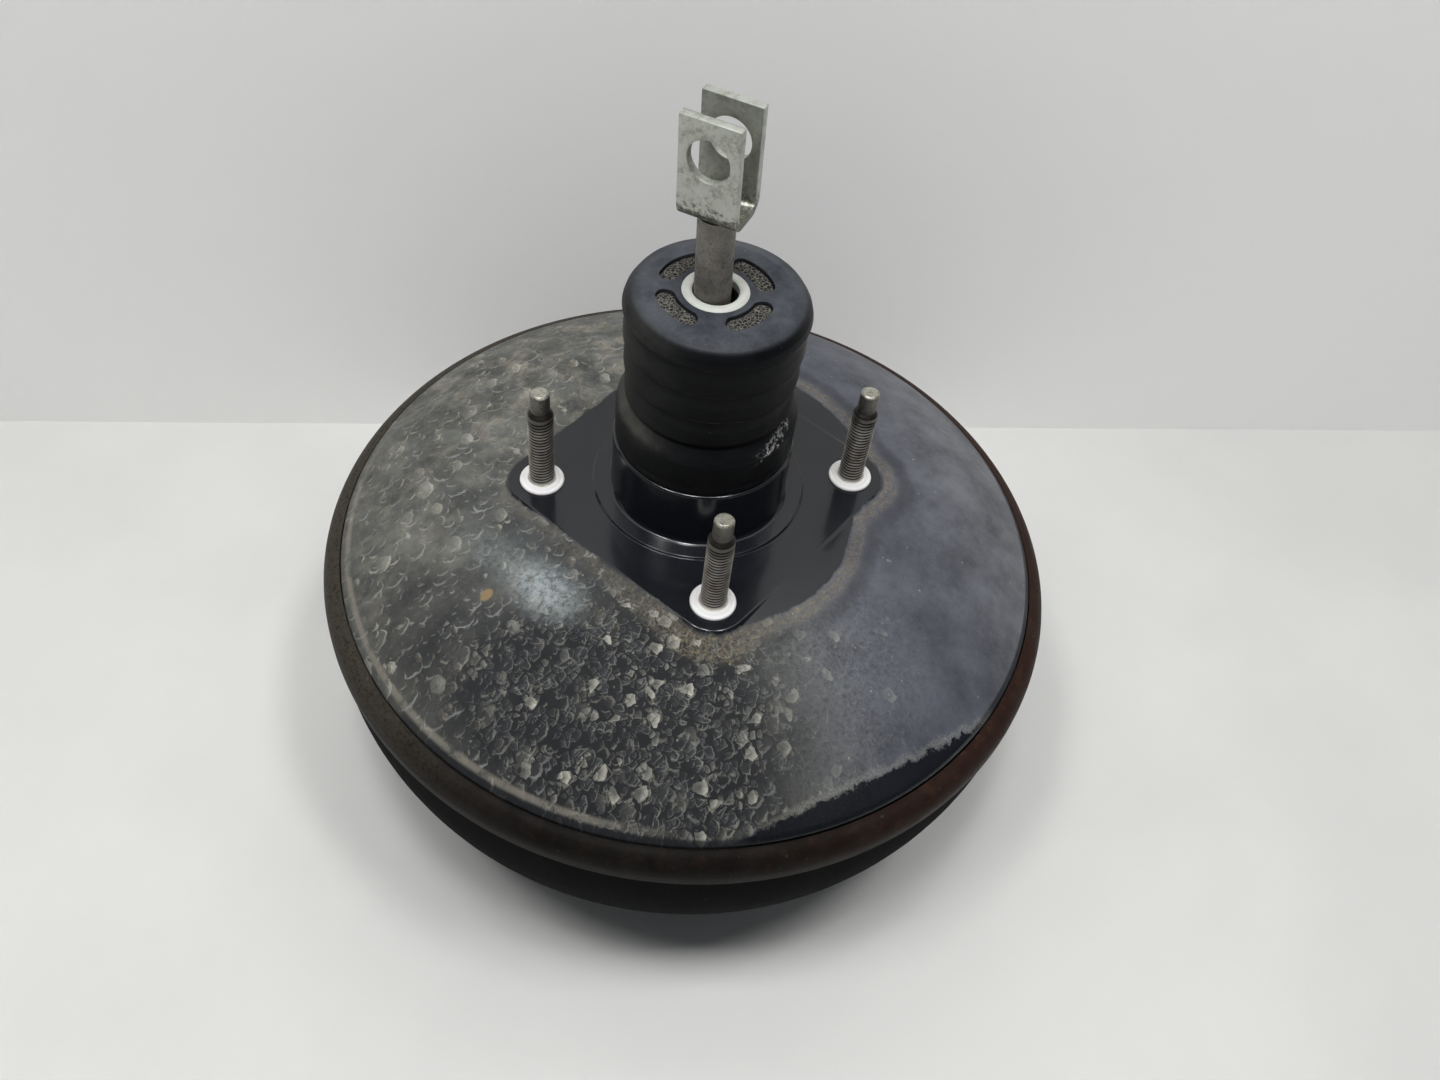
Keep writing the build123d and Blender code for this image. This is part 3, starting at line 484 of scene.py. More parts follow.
def makeDomePaint():
    look = named(domeLook)
    material, where = newMaterial("dirtyBlackPaint")
    x, y, z = axesOf(where)
    flat = place(where.tree, "CombineXYZ", {0: x, 1: y, 2: 0.0})["Vector"]
    radius = (x * x + y * y) ** 0.5
    bearing = y.calc("ARCTAN2", x) * (180 / math.pi)
    sideways = x * 0.84 - y * 0.54
    fine = noiseAt(flat, 0.55, 5, 0.75)
    lump = noiseAt(flat, 3.0, 5, 0.65)
    cloud = noiseAt(flat, 17.0, 5, 0.6)

    # distance outside the wiped zone: the plateau's rounded square, which bulges on two sides
    outX, outY = ((abs(axis) - (look.plateau - look.corner)).calc("MAXIMUM", 0.0) for axis in (x, y))
    edge = (outX * outX + outY * outY) ** 0.5 - look.corner
    lowX = (x + 7) / 29
    lowBulge = (1.0 - lowX * lowX).clamped() * y.step(-25, -42) * 9.5
    sideBulge = (1.0 - y * y / 1300).clamped() * x.step(25, 42) * 11.0
    away = edge - lowBulge - sideBulge + (noiseAt(flat, 6.0, 5, 0.65) - 0.5) * 3.6
    dirty = away.step(-0.2, 0.7) * z.step(4.0, 1.0)

    # how much of each kind of dirt lies where
    lumpZone = (spotAt(x, y, (-73, -36), (29, 36), 0.6) + spotAt(x, y, (-96, -8), (16, 26), 0.5) * 0.35 +
                spotAt(x, y, (-88, -62), (30, 26), 0.5) * 0.45).clamped()
    lumpZone = (lumpZone * 1.35 - cloud.step(0.62, 0.30) * 0.45).clamped()
    mottled = spotAt(x, y, (-38, -74), (34, 28), 0.6)
    lowDark = (spotAt(x, y, (-82, -50), (46, 50), 0.40) + spotAt(x, y, (-92, 10), (22, 30), 0.6) * 0.75).clamped()
    topZone = spotAt(x, y, (22, 84), (70, 40), 0.6)
    curlZone = (x * 1.0 - y * 0.75).step(22, -22)

    # dust films on the dark paint
    smear = noiseAt(flat, 11.0, 6, 0.7, 0.8).step(0.46, 0.63)
    film = layered(
        look.greenFilm,
        (sideways.step(-22, 40), look.blueFilm),
        # towards the far right the film is painted paler, as a painted sheen
        (sideways.step(55, 105) * 0.8, look.farFilm),
        ((topZone * 0.65 + curlZone * 0.45) * smear, look.beigeFilm),
        (spotAt(x, y, (-54, 14), (8, 32), 0.9) * 0.75, look.thinFilm),
        (lowDark * 0.97, look.lowFilm))
    thick = 0.72 + (cloud - 0.5) * 1.5 + (lump - 0.5) * 0.55 + (fine - 0.5) * 0.75
    thick = thick + mottled * ((noiseAt(flat, 1.5, 4, 0.8) - 0.5) * 1.7 + 0.12)
    thin = noiseAt(flat, 9.0, 4).step(0.60, 0.42) * curlZone * 0.25

    # the beige band that hugs the wiped zone, with flow lines at one side and a dark smudge round it
    broad = (y.step(5, -40) + x.step(5, 45)).clamped()
    bandWidth = broad * 3.2 + 1.8 + x.step(-30, -42) * y.step(50, 20) * 3.4
    smudge = (away - bandWidth - 3.2) / 3.4
    inBand = (away - 0.3).step(0.0, 1.2) * away.step(bandWidth + 2.2, bandWidth - 1.8)
    streak = noiseAt(flat, 1.7, 6, 0.75)
    bandMask = (inBand * (streak * 5.0 - 2.25 + (fine - 0.45) * 3.4)).clamped() * dirty
    flow = ((away + lump * 4.0) * 3.8).calc("SINE").step(0.60, 0.95) * inBand * broad * cloud.step(0.42, 0.60)

    # curls and rings left by drops, in three sizes
    faint = noiseAt(flat, 13.0).step(0.36, 0.62) * 0.65 + 0.35
    amount = curlZone * dirty * faint * (1.0 - lumpZone * 0.8)
    large = useGroup(driedDrops, flat, Spacing=8.4, Share=0.8, Radius=0.24, Line=0.040, Closed=0.60)
    middle = useGroup(driedDrops, flat, Spacing=4.3, Share=0.75, Radius=0.27, Line=0.065)
    small = useGroup(driedDrops, flat, Spacing=2.5, Share=0.6, Radius=0.26, Line=0.07)
    curls = (large["Curl"] * 0.85 + middle["Curl"] * 0.7 + small["Curl"] * 0.30).clamped() * amount
    curlTone = mixed(large["Tone"].step(0.35, 0.75), look.markGrey, look.markPale)

    # close-set lumps on a dark ground, thinning out to a fine mottle; each lump has painted light on one side and a
    # painted highlight along its edge
    coarse = useGroup(driedLumps, flat, Spacing=3.9, Share=0.50, Gap=0.11)
    fineLumps = useGroup(driedLumps, flat, Spacing=2.1, Share=0.66, Gap=0.10)
    strong = coarse["Tone"].step(0.60, 0.92)
    lumps = (coarse["Body"] * (strong * 0.75 + 0.30) + fineLumps["Body"] * fineLumps["Tone"] * 0.7).clamped()
    around = (lumpZone + mottled * 0.42).clamped() * dirty
    lumpGlintsAndCurls = (coarse["Rim"] * 0.7 + fineLumps["Rim"] * 0.5 + middle["Curl"] * 0.35 + small["Curl"] * 0.4).clamped()

    # grains, a painted lamp reflection broken up by the dust, and dust along the seam
    specks = useGroup(scatteredSpecks, flat, Spacing=3.2, Share=0.30, Radius=0.13)
    haze = (spotAt(x, y, (-65, 4), (6, 9), 1.0) * 0.9 + spotAt(x, y, (-65, 20), (5, 17), 1.0) * 0.35).clamped()
    haze = haze * (noiseAt(flat, 2.0, 6, 0.8).step(0.36, 0.60) * 0.85 + 0.15) * dirty
    atLeft = bearing + bearing.calc("LESS_THAN", 0.0) * 360 - 165
    seamDust = (abs(radius - look.seam).step(1.3, 0.3) * abs(atLeft).step(58, 36) *
                noiseAt(flat, 7.0, 5, 0.7).step(0.34, 0.52))

    # the wiped crescent beside the seam, with dust pushed up along its edge
    fromMiddle = bearing + look.wipedTurn
    bent = bearing + (look.wipedTurn + 4)
    inner = look.wipedFrom + bent * bent * 0.012
    beyond = radius - inner + (noiseAt(flat, 4.2, 7, 0.8) * 8.0 - 4.0)
    pushed = abs(beyond + 0.9).step(1.5, 0.2) * abs(fromMiddle).step(30, 16)
    wiped = beyond.step(-0.3, 0.4) * abs(fromMiddle).step(27, 23)

    colour = layered(
        mixed((thick - thin).clamped() * dirty, look.paint, film),
        ((1.0 - smudge * smudge).clamped() * broad * 0.40 * dirty, look.lowFilm),
        (bandMask * (broad * 0.35 + 0.5), look.band),
        (flow * streak.step(0.38, 0.58) * 0.7 * dirty, look.flowLine),
        ((large["Disc"] + middle["Disc"]).clamped() * amount * 0.5, look.halo),
        (large["Disc"] * amount * large["Tone"].step(0.55, 0.95) * 0.6, look.markPale),
        (middle["Disc"] * amount * middle["Tone"].step(0.75, 0.95) * 0.5, look.markBrown),
        (curls * 0.75, curlTone),
        (lumps * around, mixed(strong, look.lumpGrey, look.lumpPale)),
        # painted highlights along the lumps' edges, mixed with the drops' curls
        (lumpGlintsAndCurls * around * 0.38, look.lumpPale),
        (specks["Mask"] * dirty * 0.35, look.markPale),
        # painted lamp reflection
        (haze * 0.85, look.haze),
        (spotAt(x, y, (-76.4, 18.0), (2.1, 1.6), 0.12) * 0.8, look.bigDrop),
        (seamDust * 0.5 * dirty, look.beigeFilm),
        (radius.step(113.6, 114.3) * y.step(40, -5) * 0.85, look.paint),
        (pushed * fine.step(0.35, 0.6) * 0.25, look.markPale),
        (wiped * 0.95, look.paint))
    bare = (1.0 - dirty + wiped).clamped()
    marks = (curls + lumps * around + bandMask).clamped()
    roughness = 0.60 - bare * 0.38 + around * 0.24 + marks * 0.12 + (fine - 0.5) * 0.10 * dirty
    height = (lumps + lumpGlintsAndCurls * 0.6) * around + curls * 0.35 + bandMask * 0.3 + fine * 0.05 * dirty
    return surface(material, {"Base Color": colour, "Roughness": roughness, "Specular IOR Level": 0.38,
                              "Coat Weight": bare * look.gloss, "Coat Roughness": look.coatRoughness},
                   height, 0.6, 0.22)


rimLook = {
    "bandDark": (0.0066, 0.0056, 0.0050), "bandRed": (0.024, 0.0118, 0.0088),
    "wallDark": (0.0026, 0.0030, 0.0031), "wallDusty": (0.0060, 0.0068, 0.0064),
    "rust": (0.058, 0.024, 0.014), "dust": (0.050, 0.044, 0.037), "rubbed": (0.145, 0.125, 0.105),
    "farDust": (0.075, 0.066, 0.052), "specks": (0.090, 0.078, 0.065), "lowDust": (0.060, 0.055, 0.048),
}


def makeRimPaint():
    look = named(rimLook)
    material, where = newMaterial("wornRimPaint")
    x, y, z = axesOf(where)
    band = z.step(-39.4, -38.4)                     # the rolled band above the step
    red = (x * 0.84 - y * 0.54).step(-35, 75)       # one side is redder
    dust = useGroup(settledDust, where, Patch=12.0, Cover=0.45)["Mask"]
    specks = useGroup(scatteredSpecks, where, Spacing=3.4, Share=0.25, Radius=0.15)["Mask"]
    fine = noiseAt(where, 1.2, 6, 0.75)
    rust = noiseAt(where, 4.0, 7, 0.75).step(0.50, 0.66) * band * (red * 0.8 + 0.2)
    # a pale line along the step, strongest at the lower left: partly rubbed paint, partly a painted highlight on the
    # step's edge
    rubbed = abs(z + 37.9).step(0.75, 0.15) * (x * -0.9 - y * 0.3).step(20, 95) * fine.step(0.38, 0.58)
    # dust on the upper side of the roll, away from where the other side was wiped
    farDust = z.step(-33.6, -32.4) * (y * 0.7 - x * 0.3).step(10, 70) * fine.step(0.30, 0.55)
    colour = layered(
        mixed(dust * 0.7, look.wallDark, look.wallDusty),
        (band, mixed(red, look.bandDark, look.bandRed)),
        (rust * 0.6, look.rust),
        (dust * band * 0.22, look.dust),
        (rubbed * 0.75, look.rubbed),
        (farDust * 0.6, look.farDust),
        (specks * 0.3, look.specks),
        (z.step(-100, -108) * dust * 0.5, look.lowDust))
    roughness = fine * 0.22 + 0.36 + rust * 0.25 + (1.0 - band) * 0.42
    return surface(material, {"Base Color": colour, "Roughness": roughness, "Specular IOR Level": 0.06},
                   fine * 0.7 + rust * 0.6 + specks * 0.3, 0.6, 0.16)


bootLook = {
    "dark": (0.0028, 0.0031, 0.0040), "dusty": (0.0068, 0.0076, 0.0096),
    "topDark": (0.030, 0.034, 0.043), "topDusty": (0.085, 0.091, 0.102),
    "flank": (0.046, 0.048, 0.042), "shoulder": (0.105, 0.108, 0.092), "undercut": (0.0008, 0.0008, 0.0010),
    # slope is a painted highlight on the pleats' slopes, and the undercut tone above is painted shade
    "slope": (0.016, 0.017, 0.020), "held": (0.120, 0.105, 0.082), "scuff": (0.60, 0.60, 0.60),
    "specks": (0.150, 0.150, 0.142),
}


def makeBootRubber():
    look = named(bootLook)
    material, where = newMaterial("bootRubber", "restPlace")
    x, y, z = axesOf(where)
    dust = useGroup(settledDust, where, Patch=9.0, Cover=0.5)["Mask"]
    specks = useGroup(scatteredSpecks, where, Spacing=2.2, Share=0.30, Radius=0.14)["Mask"]
    fine = noiseAt(where, 0.8, 5, 0.7)
    top = z.step(74.6, 76.9)
    flank = (x * -0.84 + y * 0.54).step(12, 27)      # one side is dustier
    # a greenish band on the waist's slope, strongest on the dusty side: dust with a painted highlight
    shoulder = abs(z - 37.6).step(3.0, 1.2) * (flank * flank * 0.60 + 0.02) * (dust * 0.6 + 0.4)
    # painted shade and light: the pleats' undercuts are painted dark, and a painted highlight lies on the slopes just
    # below them
    pleatLightAndShade = ((z + noiseAt(where, 14.0, 2) * 1.6 - 40.8) / 10.0).calc("FRACT") * z.step(38.6, 39.4)
    pleatLightAndShade = pleatLightAndShade * z.step(71.9, 71.3)
    # dust held under the edge of the cap and in the pleats
    held = (abs(z - 70.0).step(1.3, 0.5) * (x - y * 0.4).step(5, 22) +
            (abs(z - 60.2).step(0.9, 0.3) + abs(z - 50.2).step(0.9, 0.3)).clamped() * 0.35)
    held = held.clamped() * noiseAt(where, 5.0, 5).step(0.45, 0.62) * (1.0 - top)
    # a run of white scuffs across the waist
    scuff = noiseAt(where, 1.2, 6, 0.85).step(0.53, 0.60)
    scuffed = abs(x - 0.5).step(11, 5) * abs(z - 36.4 - x * 0.30).step(2.6, 0.8) * y.step(-15, -22)
    colour = layered(
        mixed(dust * 0.5, look.dark, look.dusty),
        (top, mixed(dust, look.topDark, look.topDusty)),
        (flank * (1.0 - top) * (dust * 0.6 + 0.15) * (z.step(30, 36) * 0.7 + 0.3), look.flank),
        (shoulder, look.shoulder),
        # painted shade in the pleats' undercuts
        (pleatLightAndShade.step(0.93, 1.0) * z.step(39.0, 41.0) * 0.8, look.undercut),
        # painted highlight on the pleats' slopes
        (pleatLightAndShade.step(0.45, 0.85) * pleatLightAndShade.step(0.95, 0.86) * 0.35, look.slope),
        (held * 0.65, look.held),
        (scuff * scuffed * 0.85, look.scuff),
        (specks * (top * (x + y).step(-6, 20) * 0.5 + 0.2), look.specks))
    roughness = fine * 0.18 + 0.33 + dust * 0.12 + flank * 0.10
    return surface(material, {"Base Color": colour, "Roughness": roughness, "Specular IOR Level": 0.14},
                   fine * 0.6 + specks * 0.4, 0.3, 0.08)


def makePlated(name, light, dark, stainTone, stain, roughness, extra=None, metallic=0.75):
    material, where = newMaterial(name)
    steel = useGroup(platedSteel, where, Stain=stain)
    specks = useGroup(scatteredSpecks, where, Spacing=1.3, Share=0.22, Radius=0.20)["Mask"]
    colour = layered(
        mixed(steel["Shade"].step(0.3, 0.7), dark, light),
        (steel["Stains"] * 0.7, stainTone),
        (specks * 0.4, stainTone),
        *(extra(where) if extra else ()))
    return surface(material, {"Base Color": colour, "Metallic": metallic - steel["Stains"] * 0.5,
                              "Roughness": steel["Grain"] * 0.22 + roughness + steel["Stains"] * 0.2},
                   steel["Grain"] * 0.5 + specks * -0.5 + steel["Stains"] * 0.3, 0.4, 0.05)


def clevisDirtAndShade(where):
    # the clevis is dirtier and darker below its pin hole and in its pits; the faces between its ears get painted
    # shade and their outer faces a painted highlight
    x, y, z = axesOf(where)
    patch = noiseAt(where, 1.5, 6, 0.8)
    across = abs(x * 0.975 + y * 0.221 + (z - 20) * 0.0379)      # how far out from between the ears
    grime = noiseAt(where, 6.0, 6, 0.7).step(0.44, 0.62)
    pits = noiseAt(where, 0.6, 6, 0.85).step(0.585, 0.64)
    # painted shade between the ears, then a painted highlight on the ears' outer faces
    return ((across.step(5.05, 4.85) * (patch * 0.6 + 0.3), (0.24, 0.25, 0.21)),
            (across.step(7.1, 7.2) * 0.5, (0.68, 0.69, 0.63)),
            ((patch + z.step(114, 103) * 0.30 - 0.66).step(0.0, 0.12) * 0.8, (0.070, 0.060, 0.042)),
            (grime * patch.step(0.40, 0.60) * 0.55, (0.20, 0.195, 0.145)),
            (pits * (grime * 0.5 + 0.3), (0.065, 0.060, 0.050)))


def threadDirtAndRootShade(where):
    # the thread's roots are painted near-black, as painted shade with some dirt; brownish half way up, dark near the
    # top, paler on the dog point
    x, y, z = axesOf(where)
    half = studSizes["spacing"] / 2
    across, along = abs(x) - half, abs(y) - half
    deep = ((across * across + along * along) ** 0.5).step(3.97, 3.72) * z.step(32.0, 30.5) * z.step(1.0, 2.0)
    patch = noiseAt(where, 3.0, 5)
    spots = noiseAt(where, 0.8, 6, 0.85)
    return ((z.step(4, 12) * z.step(27, 18) * patch.step(0.42, 0.62) * 0.55, (0.26, 0.175, 0.115)),
            (z.step(23.5, 27) * z.step(31.2, 30.2) * 0.7, (0.060, 0.055, 0.046)),
            (z.step(31.0, 32.0) * z.step(37.7, 37.2) * 0.85, (0.155, 0.148, 0.124)),
            (z.step(37.3, 37.8) * (patch * 0.9 + 0.2), (0.34, 0.335, 0.27)),
            (z.step(31.0, 32.0) * spots.step(0.50, 0.60) * 0.75, (0.055, 0.048, 0.038)),
            # painted shade in the thread's roots
            (deep * 0.92, (0.016, 0.013, 0.010)))


def frontThreadRootShade(where):
    x, y, z = axesOf(where)
    across = abs(x) - studSizes["frontSpacing"] / 2
    deep = ((across * across + y * y) ** 0.5).step(3.95, 3.62) * z.step(-111.9, -112.6)
    # the thread's roots are painted dark as shade
    return ((deep * 0.85, (0.03, 0.025, 0.02)),)


def sootyRod(where):
    patch = noiseAt(where, 0.7, 6, 0.85)
    return ((patch.step(0.50, 0.62) * 0.55, (0.060, 0.048, 0.036)),
            (axesOf(where)[2].step(86, 77) * 0.4, (0.11, 0.10, 0.09)))


def makePlastic(name, base, dirt, roughness, stain=0.35, bump=0.25, subsurface=0.0):
    material, where = newMaterial(name)
    dust = useGroup(settledDust, where, Patch=6.0, Cover=stain)["Mask"]
    specks = useGroup(scatteredSpecks, where, Spacing=1.8, Share=0.22, Radius=0.16)["Mask"]
    fine = noiseAt(where, 0.5, 4)
    return surface(material, {"Base Color": layered(base, (dust * 0.35, dirt), (specks * 0.5, dirt)),
                              "Roughness": fine * 0.2 + roughness, "Subsurface Weight": subsurface,
                              "Subsurface Scale": mm}, fine + specks * 0.4, bump, 0.06)


def makeFoam():
    material, where = newMaterial("openFoam")
    # the pores between the pale web are painted near-black, as painted shade
    web = place(where.tree, "TexVoronoi", {"Vector": where, "Scale": 0.95},
                feature="DISTANCE_TO_EDGE")["Distance"].step(0.16, 0.02)
    fine = noiseAt(where, 0.5, 5, 0.75)
    worn = noiseAt(where, 4.0, 4).step(0.4, 0.65)
    colour = layered(
        mixed(web, (0.007, 0.007, 0.007), (0.180, 0.172, 0.152)),
        (fine.step(0.50, 0.66) * 0.55, (0.25, 0.24, 0.212)),
        (worn * 0.55 * fine.step(0.56, 0.44), (0.020, 0.020, 0.019)))
    return surface(material, {"Base Color": colour, "Roughness": fine * 0.1 + 0.85, "Specular IOR Level": 0.2},
                   web * 0.7 + fine * 0.5, 0.9, 0.4)


studSizes = {"radius": 4.0, "root": 3.38, "pitch": 1.25, "height": 38.0, "dogRadius": 3.0, "dogLength": 7.5,
             "collar": 4.3, "headRadius": 7.0, "spacing": 70.7, "frontSpacing": 80.0, "segments": 48}

# light, dark and stain tone, share of stains, roughness
platedLooks = {
    "clevisZinc": ((0.56, 0.58, 0.53), (0.44, 0.46, 0.41), (0.16, 0.15, 0.12), 0.30, 0.33, clevisDirtAndShade),
    "rodZinc": ((0.34, 0.32, 0.29), (0.22, 0.205, 0.185), (0.08, 0.065, 0.05), 0.5, 0.42, sootyRod, 0.6),
    "studZinc": ((0.68, 0.66, 0.61), (0.41, 0.38, 0.34), (0.16, 0.13, 0.10), 0.3, 0.28, threadDirtAndRootShade),
    "frontStudZinc": ((0.60, 0.59, 0.54), (0.42, 0.41, 0.37), (0.14, 0.12, 0.09), 0.35, 0.32, frontThreadRootShade),
    "bareSteel": ((0.50, 0.50, 0.49), (0.36, 0.36, 0.35), (0.16, 0.12, 0.09), 0.3, 0.32),
    "springSteel": ((0.30, 0.30, 0.31), (0.19, 0.19, 0.20), (0.09, 0.07, 0.05), 0.3, 0.30),
}
# plain and dirty tone, roughness, share of stains, bump, light let in
plasticLooks = {
    "ringNylon": ((0.54, 0.55, 0.51), (0.30, 0.26, 0.19), 0.40, 0.34, 0.25, 0.15),
    "washerNylon": ((0.78, 0.77, 0.76), (0.48, 0.40, 0.34), 0.46, 0.26, 0.25, 0.12),
    "valveNylon": ((0.66, 0.66, 0.63), (0.35, 0.31, 0.25), 0.45),
    "darkNylon": ((0.035, 0.035, 0.036), (0.10, 0.09, 0.08), 0.45),
    "phenolic": ((0.075, 0.042, 0.030), (0.13, 0.10, 0.07), 0.42),
    "blackRubber": ((0.014, 0.014, 0.015), (0.055, 0.052, 0.046), 0.55),
    "felt": ((0.33, 0.31, 0.28), (0.20, 0.18, 0.15), 0.85, 0.35, 0.8),
}
finish = {"domePaint": makeDomePaint(), "rimPaint": makeRimPaint(), "bootRubber": makeBootRubber(),
          "foam": makeFoam()}
finish.update((name, makePlated(name, *values)) for name, values in platedLooks.items())
finish.update((name, makePlastic(name, *values)) for name, values in plasticLooks.items())
print("finishes made")


# Rear shell: dome, plateau and neck

rearShellSizes = {
    "domeRadius": 115.3, "domeDepth": 27.0, "domeFlat": 46.0, "domeStart": -0.15, "wall": 1.6,
    "plateauHalf": 46.15, "plateauCorner": 10.8,
    "neckRadius": 28.01, "neckStep": 21.8, "neckTip": 26.21, "neckHeight": 34.0, "root": 1.5,
    "ledgeRadius": 34.01, "ledgeHeight": 0.6,
    "flangeDepth": 31.5, "flangeRadius": 118.8, "segments": 240,
    "pressFrom": 34.8, "cornerFrom": 43.7, "pressTo": 50.0, "blendTo": 74.0,       # rings drawn out to the square
    "pressRings": [36.0, 38.0, 40.0, 42.0, 43.7, 44.9, 45.3, 45.6, 45.9, 46.15, 46.4, 46.7, 47.0, 47.4, 48.4, 50.0],
}


def domeHeight(radius, inset=0.0):
    # the dome is part of a ball, with a flat middle
    s = named(rearShellSizes)
    run = s.domeRadius - s.domeFlat
    drop = s.domeDepth + s.domeStart
    curve = (run ** 2 + drop ** 2) / (2 * drop) - inset
    out = max(radius - s.domeFlat, 0.0)
    return s.domeStart - inset - curve + math.sqrt(max(curve ** 2 - min(out, curve * 0.98) ** 2, 0.0))


def squareRadius(angle, half, corner):
    # distance from the middle to the edge of a rounded square
    u, v = abs(math.cos(angle)), abs(math.sin(angle))
    u, v = max(u, v), min(u, v)
    straight = half - corner
    if half / u * v <= straight:
        return half / u
    along = straight * (u + v)
    return along + math.sqrt(max(along ** 2 - 2 * straight ** 2 + corner ** 2, 0.0))


def makeRearShell():
    s = named(rearShellSizes)
    ledge = s.ledgeHeight
    outer = rounded([
        (s.neckTip - s.wall, s.neckStep - 2, 0), (s.neckTip - s.wall, s.neckHeight, 0.6),
        (s.neckTip, s.neckHeight, 0.6), (s.neckTip, s.neckStep, 0.5),
        (s.neckRadius, s.neckStep, 0.9), (s.neckRadius, ledge, s.root),
        (s.ledgeRadius - 0.5, ledge, 0.35), (s.ledgeRadius + 0.1, 0.0, 0.3), (s.pressFrom, 0.0, 0)], steps=5)
    outer += [(r, 0.0) for r in s.pressRings]
    for i in range(1, 40):
        r = s.pressTo + (s.domeRadius - s.pressTo) * i / 39
        outer.append((r, domeHeight(r)))
    inner = [
        (s.domeRadius + 0.1, -s.domeDepth - 0.5), (s.domeRadius, -s.flangeDepth + 0.6),
        (s.domeRadius + 0.6, -s.flangeDepth), (s.flangeRadius, -s.flangeDepth),
        (s.flangeRadius, -s.flangeDepth - s.wall),
        (s.domeRadius - s.wall, -s.flangeDepth - s.wall),
    ]
    for i in range(9):
        r = s.domeRadius - s.wall - (s.domeRadius - s.wall - 62) * i / 8
        inner.append((r, domeHeight(r, s.wall)))
    bore = s.neckRadius - s.wall
    inner += [(44.0, -2.2), (bore, -2.2), (bore, s.neckStep - 2)]
    piece = lathe(outer + inner, s.segments)
    # the plateau: rings near it are drawn out to a rounded square, and the dome falls away outside it
    low, high = s.pressFrom, s.blendTo
    for vertex in piece.data.vertices:
        x, y, z = (value / mm for value in vertex.co)
        z += piece.location.z / mm
        reach = math.hypot(x, y)
        if not low <= reach <= high or z < domeHeight(reach) - 0.4 or z > 0.2:
            continue
        angle = math.atan2(y, x)
        square = squareRadius(angle, s.plateauHalf, s.plateauCorner)
        if reach < s.cornerFrom:
            inside = square + s.cornerFrom - s.plateauHalf
            new = low + (inside - low) * (reach - low) / (s.cornerFrom - low)
        elif reach < s.pressTo:
            new = square + (reach - s.plateauHalf)
        else:
            outside = square + s.pressTo - s.plateauHalf
            new = outside + (high - outside) * (reach - s.pressTo) / (high - s.pressTo)
        t = min(max((new - square + 0.55) / 1.5, 0.0), 1.0)
        fall = t * t * (3 - 2 * t)
        vertex.co = Vector((new * math.cos(angle), new * math.sin(angle),
                            domeHeight(new) * fall - piece.location.z / mm)) * mm
    return finishPiece(piece, "rearShell", "housing", finish["domePaint"], 40, ["rear_shell"])


makeRearShell()
print("rear shell made")


# Front shell: rolled rim, wall and bowl

frontShellSizes = {
    "lipRadius": 115.8, "lipDepth": 27.5, "rimRadius": 121.8, "rimDepth": 35.0, "band": 2.6, "step": 1.6,
    "wallRadius": 120.5, "sideDepth": 45.0, "bowlCurve": 84.544, "shoulderCurve": 18.0, "shoulderAngle": 44.029,
    "wall": 2.2, "padRadius": 57.0, "padRise": 2.5, "hole": 17.0, "segments": 240,
    "bandWall": 1.8, "rollInner": 119.3, "rollDepth": 31.5,
}


def bowlPoints(inset):
    s = named(frontShellSizes)
    curve, shoulder, turn = s.bowlCurve - inset, s.shoulderCurve - inset, math.radians(s.shoulderAngle)
    cx = s.wallRadius - s.bowlCurve
    points = []
    for i in range(15):
        a = turn * i / 14
        points.append((cx + curve * math.cos(a), -s.sideDepth - curve * math.sin(a)))
    sx = cx + (s.bowlCurve - s.shoulderCurve) * math.cos(turn)
    sz = -s.sideDepth - (s.bowlCurve - s.shoulderCurve) * math.sin(turn)
    for i in range(1, 11):
        a = turn + (math.pi / 2 - turn) * i / 10
        points.append((sx + shoulder * math.cos(a), sz - shoulder * math.sin(a)))
    return points


def makeFrontShell():
    s = named(frontShellSizes)
    lip, depth = s.lipRadius, s.lipDepth
    run, drop = s.rimRadius - lip, s.rimDepth - depth
    curve = (run ** 2 + drop ** 2) / (2 * run)
    start = math.asin(drop / curve)
    outer = [(lip + 0.1, -depth - 0.5), (lip + 0.05, -depth - 0.12), (lip + 0.4, -depth + 0.02)]
    for i in range(1, 13):
        a = start * (1 - i / 12)
        outer.append((s.rimRadius - curve * (1 - math.cos(a)), -s.rimDepth + curve * math.sin(a)))
    ledge = -s.rimDepth - s.band
    outer += rounded([(s.rimRadius, -s.rimDepth - 0.4, 0), (s.rimRadius, ledge, 0.8),
                      (s.wallRadius, ledge - s.step, 1.2), (s.wallRadius, ledge - s.step - 2, 0)])
    outer += bowlPoints(0)
    floor = outer[-1][1]
    face = floor - s.padRise
    outer += rounded([(s.padRadius + 6, floor, 0), (s.padRadius, floor, 2.0),
                      (s.padRadius - s.padRise, face, 2.0), (s.hole + 8, face, 0), (s.hole, face, 0.4),
                      (s.hole, face + s.wall, 0.4),
                      (s.padRadius - s.padRise - s.wall, face + s.wall, 0),
                      (s.padRadius - s.wall, floor + s.wall, 0)])
    inner = list(reversed(bowlPoints(s.wall)))
    bandInner = s.rimRadius - s.bandWall
    inner += [(s.wallRadius - s.wall, ledge), (bandInner, ledge), (bandInner, -s.rimDepth),
              (s.rollInner, -s.rollDepth), (lip + 0.1, -s.rollDepth)]
    piece = lathe(outer + inner, s.segments)
    return finishPiece(piece, "frontShell", "housing", finish["rimPaint"], 40, ["front_shell"])


makeFrontShell()
print("front shell made")


# Studs, with their thread and dog point

studSpots = [(x * studSizes["spacing"] / 2, y * studSizes["spacing"] / 2) for x in (-1, 1) for y in (-1, 1)]


